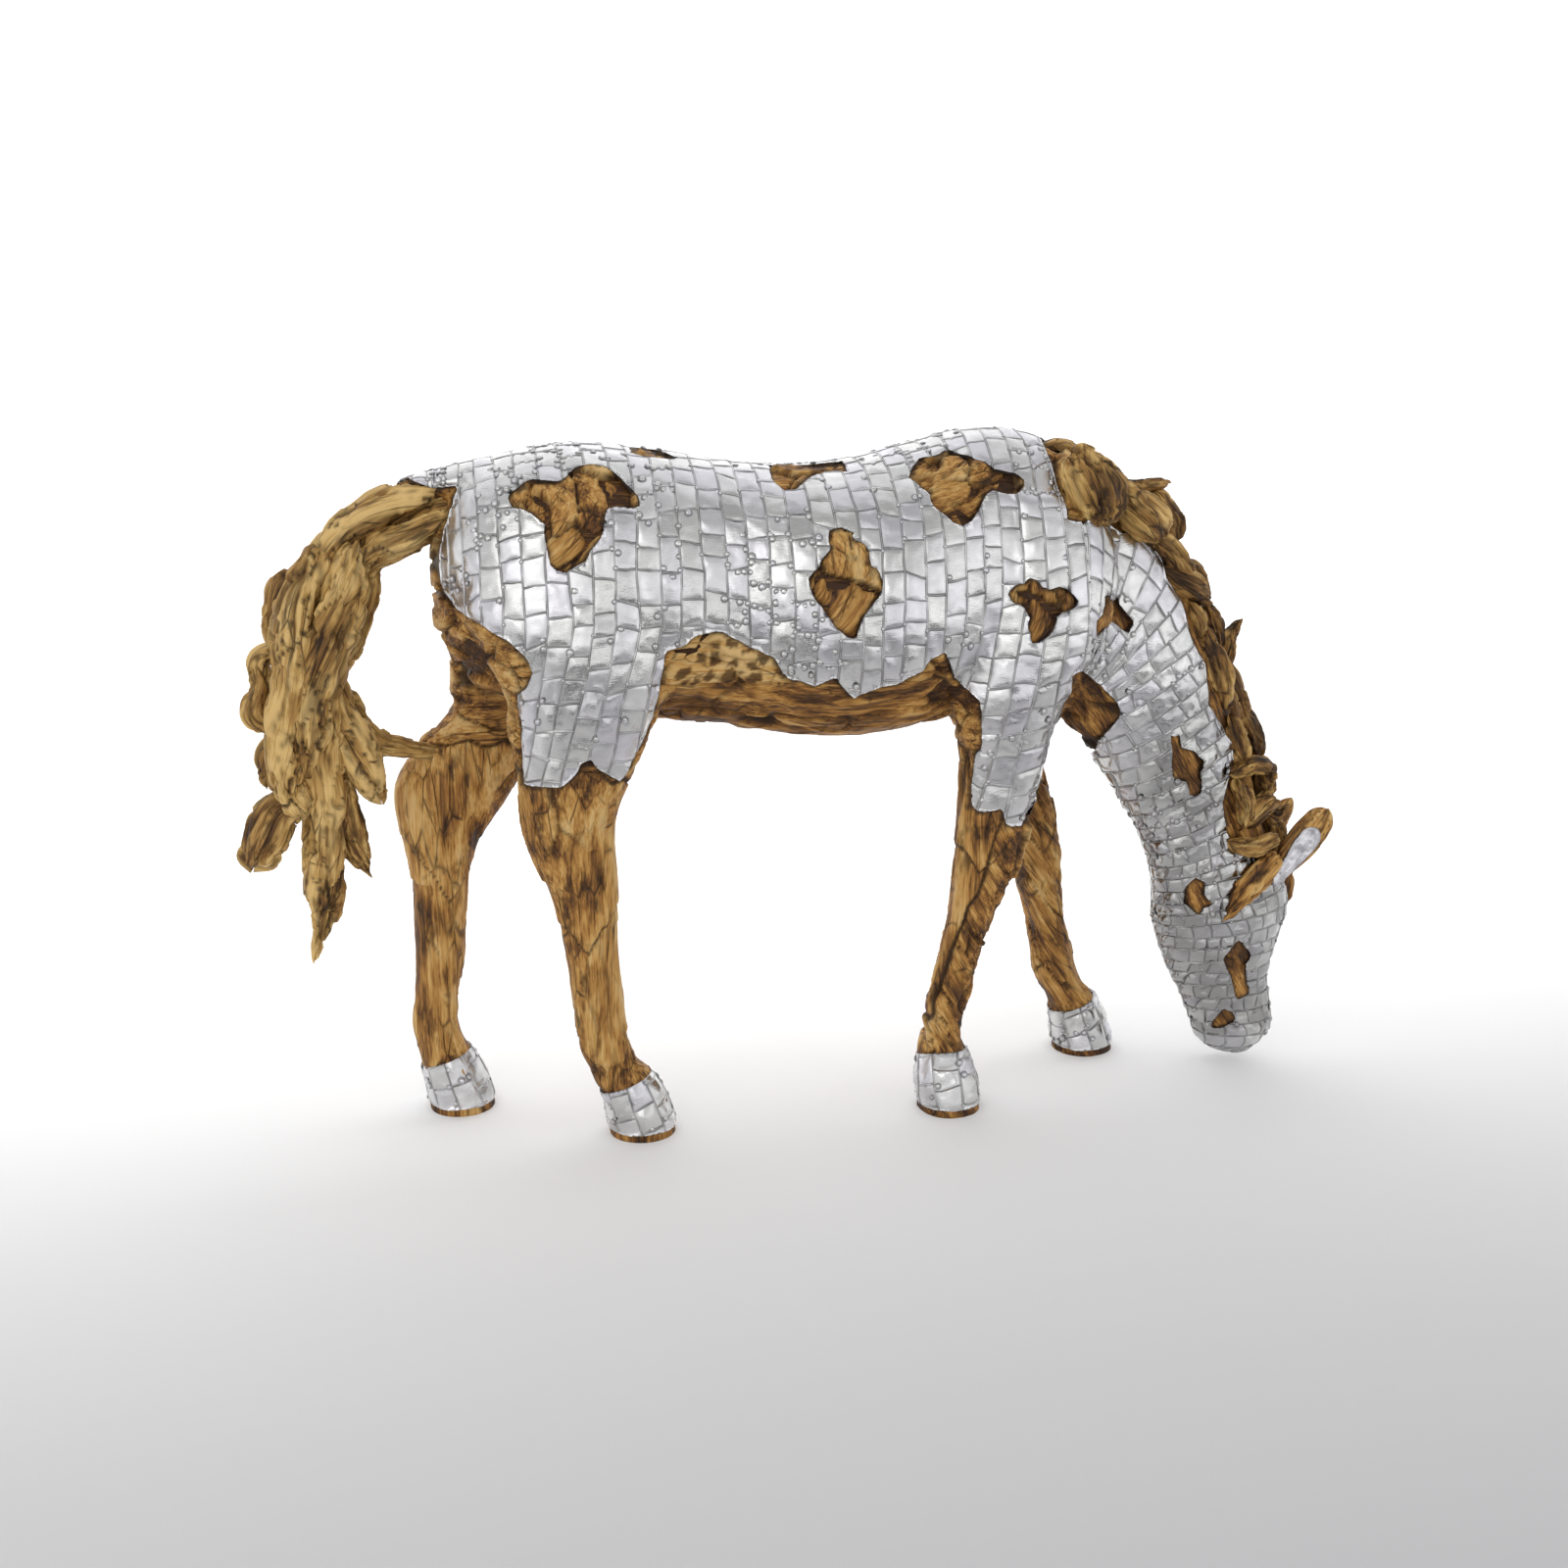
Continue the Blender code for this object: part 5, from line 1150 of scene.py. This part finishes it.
def wood_body(form, finish):
    """The carved body: plates of root wood where it shows, and a plain body behind them and the sheet.

    The plates are made in two pieces, which part at the front of the near thigh.
    """
    points, faces = points_of(form), triangles_of(form)
    cover = steel_distance(points, 0 * points[:, 0])
    faces = faces[cover[faces].min(1) < UNDER_SHEET]
    points, faces, kept = without_spares(points, faces, {"normals": normals_of(form), "cover": cover})
    normals, cover = kept["normals"], kept["cover"]
    x, y, z = points.T
    height, shade, crack, grain, joint, to_neck = carved_regions(points)
    sleeve, sleeve_joint = leg_sleeves(points)
    joint = np.minimum(joint, sleeve_joint)
    crack = np.maximum(crack, 1 - step(0.002, 0.007, joint))
    height = height + sleeve - 0.003 * (1 - step(0.001, 0.006, joint))
    height = np.where(cover > -0.004, np.minimum(height - 0.002, 0.0005), np.minimum(height, RELIEF))
    height = height * (1 - 0.8 * step(0.012, 0.02, cover))
    height = np.where(z < HOOF_TOP, np.minimum(height, 0.001) * 0.4, height)
    # Wood is darker within about a centimetre of the sheet's edges
    burn = step(-0.01, -0.001, cover + 0.006 * clouds(points / 0.015, 2, 57))
    spotted = (y < 0) * step(0.985, 1.005, z) * step(-0.29, -0.27, x) * step(-0.03, -0.05, x)
    middle, own, _ = plates(points / SPOT_SIZE, 58)
    spots = step(0.1, 0.24, middle + 0.1 * clouds(points / 0.008, 2, 59)) * (own > 0.2) * spotted
    crack = np.maximum(crack * (1 - spotted), 0.85 * spots)
    shade = shade - 0.12 * step(0, 0.05, to_neck) - 0.16 * step(0.8, 0.6, z) * (x > 0.8)
    # Painted shade: wood that faces down is made darker, as if in shadow; the lowest 18 mm is darker too
    shade = shade + 0.3 * spotted * (1 - spots) - 0.3 * step(0.2, 0.8, -normals[:, 2]) - 0.3 * (z < 0.018)
    points = points + normals * height[:, None]
    points[:, 2] = np.maximum(points[:, 2], 0)
    hind = x[faces].mean(1) < HIND_END
    values = {"grain": grain, "shade": shade, "crack": crack, "burn": burn}
    for name, part in (("carved_hind", faces[hind]), ("carved_fore", faces[~hind])):
        place(name, *without_spares(points, part, values), finish, "carved_wood", "wood_body")
    core = smooth_form(CORE_VOXEL, CORE_SMOOTHING)
    points = points_of(core) - normals_of(core) * CORE_DEPTH
    points[:, 2] = np.maximum(points[:, 2], 0.002)
    values = {"grain": points, **dict.fromkeys(("shade", "crack", "burn"), np.zeros(len(points)))}
    place("plain_core", points, triangles_of(core), values, finish, "carved_wood", "wood_body")


def patch_grain(points):
    """Grain coordinates of the trunk: level, but turned in each patch as its own plates of root are."""
    grain = np.stack([points[:, 0] + 0.4, points[:, 2], points[:, 1]], -1)
    for patches, near in ((NEAR_PATCHES, True), (FAR_PATCHES, False)):
        for name, outline in patches.items():
            low, high = np.min(outline, 0) * CM - 0.02, np.max(outline, 0) * CM + 0.02
            side = points[:, [0, 2]]
            there = ((points[:, 1] < 0) == near) & (side > low).all(1) & (side < high).all(1)
            turn = math.radians(PATCH_GRAIN[name])
            centre = (low + high) / 2
            x, z = (side[there] - centre).T
            bend = turn + 4 * z * np.sign(math.sin(turn + 0.5))
            grain[there, 0] = x * np.cos(bend) + z * np.sin(bend) + centre[0]
            grain[there, 1] = z * np.cos(bend) - x * np.sin(bend) + centre[1]
    return grain


def leg_sleeves(points):
    """Each leg's upper plates end in a point over its shaft: how much they stand out, and their edge."""
    x, y, z = points.T
    nearest = np.full(len(points), FAR_AWAY)
    raised = np.zeros(len(points))
    edge = nearest.copy()
    for name, rows in LEGS.items():
        table = np.array(rows)[np.argsort(np.array(rows)[:, 2])] * CM
        axis_x, axis_y, depth = (np.interp(z, table[:, 2], table[:, k]) for k in (0, 1, 3))
        away = np.hypot(x - axis_x, y - axis_y)
        mine = (away < nearest) & (z < SLEEVES_BELOW)
        tip_z, tip_place, rise = SLEEVES[name]
        off_tip = np.abs((x - axis_x) / depth - tip_place)
        above = z - ((tip_z + rise * off_tip) * CM + 0.006 * noise(points / 0.02, 33))
        stands = SLEEVE_STEP * step(-0.003, 0.003, above) * step(0.25, 0.1, above)
        raised = np.where(mine, stands, raised)
        edge = np.where(mine, np.abs(above), edge)
        nearest = np.minimum(nearest, away)
    return raised, edge


def path_frame(rows):
    """Unit vectors along a path, across it in side view, and out of the horse's side."""
    ahead = np.gradient(rows[:, :3], axis=0)
    ahead /= np.linalg.norm(ahead, axis=1, keepdims=True)
    across = np.cross(ahead, [0.0, 1.0, 0.0])
    across /= np.linalg.norm(across, axis=1, keepdims=True)
    return ahead, across, np.cross(across, ahead)


def root_piece(name, path, finish, relief=1.0, blunt=0.016, tone=0.0):
    """A length of root wood: uneven oval sections along a path, with ridges, cut facets and ragged ends."""
    seed = seed_of(name)
    span = lengths(smooth_rows(path, 40)[:, :3] * CM)[-1]
    rows = smooth_rows(path, int(np.clip(span / ROOT_STEP, 26, 150))) * CM
    ahead, across, outward = path_frame(rows)
    along = lengths(rows[:, :3])
    ends = np.minimum(along, along[-1] - along)
    blunt = min(blunt, 0.3 * along[-1])
    round_off = np.sqrt(1 - (1 - np.clip(ends / blunt, 0.002, 1)) ** 2)[:, None]
    turn = turns(ROOT_SIDES)[None]
    angle = turn + 0.5 * relief * np.sin(along / 0.2 + seed)[:, None]
    wide, deep = rows[:, 3:4], rows[:, 4:5]
    size = float(np.sqrt(rows[:, 3] * rows[:, 4]).mean())
    local = np.stack([along[:, None] + 0 * turn, wide * np.cos(angle) + 0.37 * seed,
                      deep * np.sin(angle)], -1).reshape(-1, 3)
    height, shade, crack = carving(local, max(0.12, 4 * size), max(0.02, 0.8 * size), 0.28 * size, seed)
    facet, own, slope = plates(local / [3 * size, 1.4 * size, 1.4 * size], seed + 7)
    facets = 0.45 * slope * (own - 0.35) + 0.12 * (own - 0.5) - 0.12 * (1 - step(0, 0.12, facet))
    height = height + size * facets
    height = height + clouds(local / [2.2 * size, 1.3 * size, 1.3 * size], 2, 81) * 0.2 * size
    furrow = 1 - step(0.0, 0.16, np.abs(clouds(local / [0.22, 0.024, 0.024], 2, 85)))
    gnarl = 1 - 2 * np.abs(clouds(local / [0.06, 0.012, 0.012], 2, 83))
    height = np.clip(height + 0.0018 * gnarl - 0.0045 * furrow, -0.5 * size, 0.28 * size)
    height = relief * height.reshape(len(rows), ROOT_SIDES)
    tip = np.stack([1.6 * np.cos(angle), 1.6 * np.sin(angle), 0 * angle + 0.7 * seed], -1)
    near_end = np.clip(1 - ends / 0.05, 0, 1)[:, None]
    ragged = noise(tip, 87) * near_end * min(0.02, 0.14 * along[-1]) * relief
    rings = rows[:, None, :3] + ahead[:, None] * ragged[..., None] \
        + across[:, None] * (np.cos(turn) * (wide + height) * round_off)[..., None] \
        + outward[:, None] * (np.sin(turn) * (deep + height) * round_off)[..., None]
    # Painted shade: gnarls and raised facets are lighter and the furrows darker, the furrows also through
    # the crack value
    values = {"grain": local, "shade": shade + tone + 0.14 * gnarl + 0.16 * (own - 0.5) - 0.1 * furrow,
              "crack": np.maximum(crack, 0.6 * furrow), "burn": 0 * crack}
    values = {key: np.concatenate([value, value[:1], value[-1:]]) for key, value in values.items()}
    faces = fan(loft_faces(*rings.shape[:2]))
    place(name + "_carved", capped(rings), faces, values, finish, "root_wood", name)


def ear_plate(finish):
    """The steel leaf let into the near ear's outer face, with a bead round its edge."""
    leaf = [(x, y, z, width * PLATE_WIDTH, depth) for x, y, z, width, depth in EARS["ear_near"][:4]]
    rows = smooth_rows(leaf, 26) * CM
    _, across, outward = path_frame(rows)
    outward = outward * np.sign(-outward[:, 1:2])
    shares = np.linspace(-1, 1, 17)
    ends = np.linspace(0, 1, len(rows))[:, None]
    narrow = np.sqrt(np.clip(1 - (2 * ends - 1) ** 6, 0.02, 1))
    bulge = np.sqrt(1 - (PLATE_WIDTH * shares[None]) ** 2)
    rim = np.maximum(step(0.8, 1, np.abs(shares))[None], step(0.88, 1, np.abs(2 * ends - 1)))
    where = np.stack([ends * 6 + 0 * shares, shares * 2 + 0 * ends, 0 * ends * shares], -1)
    dents = 0.0035 * clouds(where, 2, 3)
    lift = rows[:, 4:5] * bulge + 0.003 + 0.0016 * rim * (1 - rim) * 4 + dents
    front = rows[:, None, :3] + across[:, None] * (rows[:, 3:4] * narrow * shares)[..., None] \
        + outward[:, None] * lift[..., None]
    back = front - outward[:, None] * PLATE_THICKNESS
    rings = np.concatenate([front, back[:, ::-1]], 1)
    points = capped(rings)
    # Painted shade and dirt: the plate darkens towards its rim, and its back is dark all over
    groove = np.concatenate([0.8 * rim + 0 * shares, np.ones_like(rim + 0 * shares)], 1).reshape(-1)
    values = {"groove": np.concatenate([groove, [1, 1]]), "own": np.full(len(points), 0.6),
              "dull_and_shade": np.clip(0.3 + 0.6 * clouds(points / 0.02, 2, 94), 0, 1)}
    faces = fan(loft_faces(*rings.shape[:2]))
    place("ear_plate_near", points, faces, values, finish, "riveted_steel", "ear_plate")


def fan(faces):
    """Triangles of a list of triangles and quads."""
    return [(face[0], face[k], face[k + 1]) for face in faces for k in range(1, len(face) - 1)]


class Nodes:
    """A node tree whose nodes are made by short calls."""

    def __init__(self, tree):
        self.tree = tree

    def node(self, kind, settings=None, **inputs):
        made = self.tree.nodes.new("ShaderNode" + kind)
        for key, value in (settings or {}).items():
            setattr(made, key, value)
        for key, value in inputs.items():
            self.feed(made.inputs[key.replace("_", " ")], value)
        return made

    def feed(self, socket, value):
        if isinstance(value, bpy.types.NodeSocket):
            self.tree.links.new(value, socket)
        else:
            socket.default_value = value

    def coordinates(self, output="Object"):
        return self.node("TexCoord").outputs[output]

    def stored(self, name, output="Fac"):
        return self.node("Attribute", {"attribute_name": name}).outputs[output]

    def scaled(self, vector, scale):
        return self.node("Mapping", None, Vector=vector, Scale=scale).outputs["Vector"]

    def noise(self, vector, scale, detail=4, roughness=0.55):
        return self.node("TexNoise", None, Vector=self.scaled(vector, scale), Scale=1.0, Detail=detail,
                         Roughness=roughness).outputs["Fac"]

    def math(self, operation, *values):
        made = self.node("Math", {"operation": operation})
        for socket, value in zip(made.inputs, values):
            self.feed(socket, value)
        return made.outputs[0]

    def add(self, *values):
        return self.math("ADD", *values)

    def times(self, *values):
        return self.math("MULTIPLY", *values)

    def spread(self, value, low, high, to_low=0.0, to_high=1.0):
        limits = {"From_Min": low, "From_Max": high, "To_Min": to_low, "To_Max": to_high}
        return self.node("MapRange", {"clamp": True}, Value=value, **limits).outputs["Result"]

    def ramp(self, value, stops):
        made = self.node("ValToRGB", None, Fac=value)
        elements = made.color_ramp.elements
        while len(elements) < len(stops):
            elements.new(0.5)
        for element, (position, colour) in zip(elements, stops):
            element.position = position
            element.color = (*colour, 1)
        return made.outputs["Color"]

    def mix(self, share, one, other):
        made = self.node("Mix", {"data_type": "RGBA"})
        for index, value in ((0, share), (6, one), (7, other)):
            self.feed(made.inputs[index], (*value, 1) if isinstance(value, tuple) else value)
        return made.outputs[2]


class Shader(Nodes):
    """A material, with its surface shader at hand."""

    def __init__(self, name, **surface):
        self.material = bpy.data.materials.new(name)
        self.material.use_nodes = True
        super().__init__(self.material.node_tree)
        self.surface = self.tree.nodes["Principled BSDF"]
        self.set(**surface)

    def set(self, **surface):
        for key, value in surface.items():
            self.feed(self.surface.inputs[key.replace("_", " ")], value)

    def bump(self, height, strength, distance):
        made = self.node("Bump", None, Height=height, Strength=strength, Distance=distance)
        self.set(Normal=made.outputs["Normal"])


def wood_finish(name, stops, darkest):
    """Sanded, oiled root wood: grain streaks, lighter and darker plates with painted shade where the carving
    lies low and where it faces down, dark joints and spots, and darker wood along the steel's edges.
    """
    shader = Shader(name, Specular_IOR_Level=0.25)
    grain = shader.stored("grain", "Vector")
    streak = shader.noise(grain, (6, 95, 95), 6, 0.62)
    broad = shader.noise(grain, (7, 22, 22), 3)
    speck = shader.noise(grain, (22, 55, 55), 3)
    thread = shader.noise(grain, (10, 280, 280), 3, 0.6)
    level = shader.stored("shade")
    for part, darker, lighter in ((streak, -0.3, 0.3), (broad, -0.26, 0.2), (thread, -0.2, 0.2)):
        level = shader.add(level, shader.spread(part, 0.3, 0.7, darker, lighter))
    spots = shader.times(shader.spread(speck, 0.52, 0.64), shader.spread(broad, 0.56, 0.4))
    cells = shader.scaled(grain, (7, 38, 38))
    cells = shader.node("TexVoronoi", {"feature": "DISTANCE_TO_EDGE"}, Vector=cells, Scale=1.0)
    split = shader.spread(cells.outputs["Distance"], 0.05, 0.0)
    split = shader.times(split, shader.spread(broad, 0.6, 0.42))
    dark = shader.stored("crack")
    for mark in (shader.times(spots, 0.85), split, shader.stored("burn")):
        dark = shader.math("MAXIMUM", dark, mark)
    shader.set(Base_Color=shader.mix(shader.times(dark, 0.88), shader.ramp(level, stops), darkest),
               Roughness=shader.spread(streak, 0.3, 0.7, 0.5, 0.68))
    height = shader.add(shader.times(streak, 0.7), shader.times(thread, 0.3))
    shader.bump(shader.math("SUBTRACT", height, split), 0.8, 0.0025)
    return shader.material


def steel_finish():
    """Sheet steel: tiles of slightly different greys, duller and darker in places, with painted shade where
    they face down, and painted shade with dirt beside the seams.
    """
    shader = Shader("riveted steel", Metallic=1.0)
    where = shader.coordinates()
    own, groove, dull_and_shade = shader.stored("own"), shader.stored("groove"), shader.stored("dull_and_shade")
    cloudy = shader.noise(where, (30, 30, 30), 4)
    brushed = shader.noise(where, (90, 90, 420), 4, 0.6)
    colour = shader.ramp(own, STEEL_GREYS)
    colour = shader.mix(shader.spread(cloudy, 0.35, 0.75, 0, 0.35), colour, CLOUDED_STEEL)
    # Darker where dull: partly the steel's own dullness, partly painted shade where it faces down
    colour = shader.mix(shader.spread(dull_and_shade, 0.25, 0.75, 0, 0.66), colour, DULL_AND_SHADED_STEEL)
    # Painted shade and dirt in the grooves, weaker where the steel is dull
    shade_and_dirt = shader.times(groove, shader.spread(dull_and_shade, 0, 1, 0.85, 0.45))
    rough = shader.add(shader.spread(own, 0, 1, 0.22, 0.33), shader.spread(cloudy, 0.35, 0.7, -0.04, 0.06))
    rough = shader.math("SUBTRACT", rough, shader.times(dull_and_shade, 0.26))
    rough = shader.add(rough, shader.times(groove, 0.25))
    shader.set(Base_Color=shader.mix(shade_and_dirt, colour, SHADE_AND_DIRT_COLOUR), Roughness=rough)
    beaten = shader.times(shader.noise(where, (26, 26, 26), 1), shader.spread(dull_and_shade, 0, 0.7, 0.65, 2.0))
    shader.bump(shader.add(beaten, shader.times(brushed, 0.08)), 1.0, 0.006)
    return shader.material


def studio_floor():
    """A pale floor that runs up into a backdrop."""
    profile = [(-1.9, 0.0), (2.2, 0.0)]
    for k in range(1, 13):
        bend = math.pi / 2 * k / 12
        profile.append((2.2 + 1.6 * math.sin(bend), 1.6 - 1.6 * math.cos(bend)))
    profile.append((3.8, 7.0))
    points = [(x, y, z) for y, z in profile for x in (-9.0, 9.0)]
    faces = [(2 * k, 2 * k + 1, 2 * k + 3, 2 * k + 2) for k in range(len(profile) - 1)]
    floor = link("studio_floor", mesh_from("studio_floor", points, faces))
    shader = Shader("pale floor", Roughness=0.85, Emission_Strength=0.22)
    back = shader.node("SeparateXYZ", None, Vector=shader.coordinates()).outputs["Y"]
    tone = shader.ramp(shader.spread(back, -1.8, 1.0), [(0, (0.48, 0.48, 0.49)), (1, (0.9, 0.9, 0.9))])
    shader.set(Base_Color=tone, Emission_Color=tone)
    floor.data.materials.append(shader.material)


def aimed(name, data, location, aim):
    """A lamp or camera that looks from its location at a point."""
    made = link(name, data)
    made.location = location
    made.rotation_euler = (Vector(aim) - Vector(location)).to_track_quat("-Z", "Y").to_euler()
    return made


def studio():
    """The floor, soft lights, the sky that the steel mirrors, and the camera."""
    studio_floor()
    for name, location, aim, size, power, colour in LIGHTS:
        lamp = bpy.data.lights.new(name, "AREA")
        lamp.shape = "RECTANGLE"
        lamp.size, lamp.size_y = size
        lamp.energy = power
        lamp.color = colour
        aimed(name, lamp, location, aim)

    world = bpy.data.worlds.new("studio")
    bpy.context.scene.world = world
    world.use_nodes = True
    sky = Nodes(world.node_tree)
    height = sky.node("SeparateXYZ", None, Vector=sky.coordinates("Generated")).outputs["Z"]
    background = sky.tree.nodes["Background"]
    tones = [(place_up, (tone, tone, tone)) for place_up, tone in SKY]
    sky.feed(background.inputs["Color"], sky.ramp(sky.spread(height, -1, 1), tones))
    background.inputs["Strength"].default_value = SKY_STRENGTH

    lens = bpy.data.cameras.new("camera")
    lens.lens = LENS
    places = [Vector(place) + Vector(SHIFT) for place in (CAMERA_AT, CAMERA_AIM)]
    bpy.context.scene.camera = aimed("camera", lens, *places)
    bpy.context.scene.view_settings.view_transform = "Standard"


def main():
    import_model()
    golden = wood_finish("carved root wood", GOLDEN, (0.018, 0.008, 0.003))
    driftwood = wood_finish("driftwood", DRIFTWOOD, (0.016, 0.008, 0.003))
    steel = steel_finish()
    form = smooth_form(VOXEL, SKIN_SMOOTHING)
    tree = BVHTree.FromPolygons(points_of(form).tolist(), [face.vertices[:] for face in form.polygons])
    steel_pieces(tree, steel)
    for name in HOOVES:
        cuff(tree, name, steel)
    wood_body(form, golden)
    for name, path in TAIL.items():
        root_piece(name, path, driftwood, tone=TAIL_TONE)
    for name, path in MANE.items():
        finish = golden if name.startswith("forelock") else driftwood
        root_piece(name, path, finish, tone=LOW_MANE_TONE if path[0][0] > LOW_MANE else MANE_TONE)
    for name, path in EARS.items():
        root_piece(name, path, golden, relief=0.16, blunt=0.032)
    ear_plate(steel)
    studio()


main()
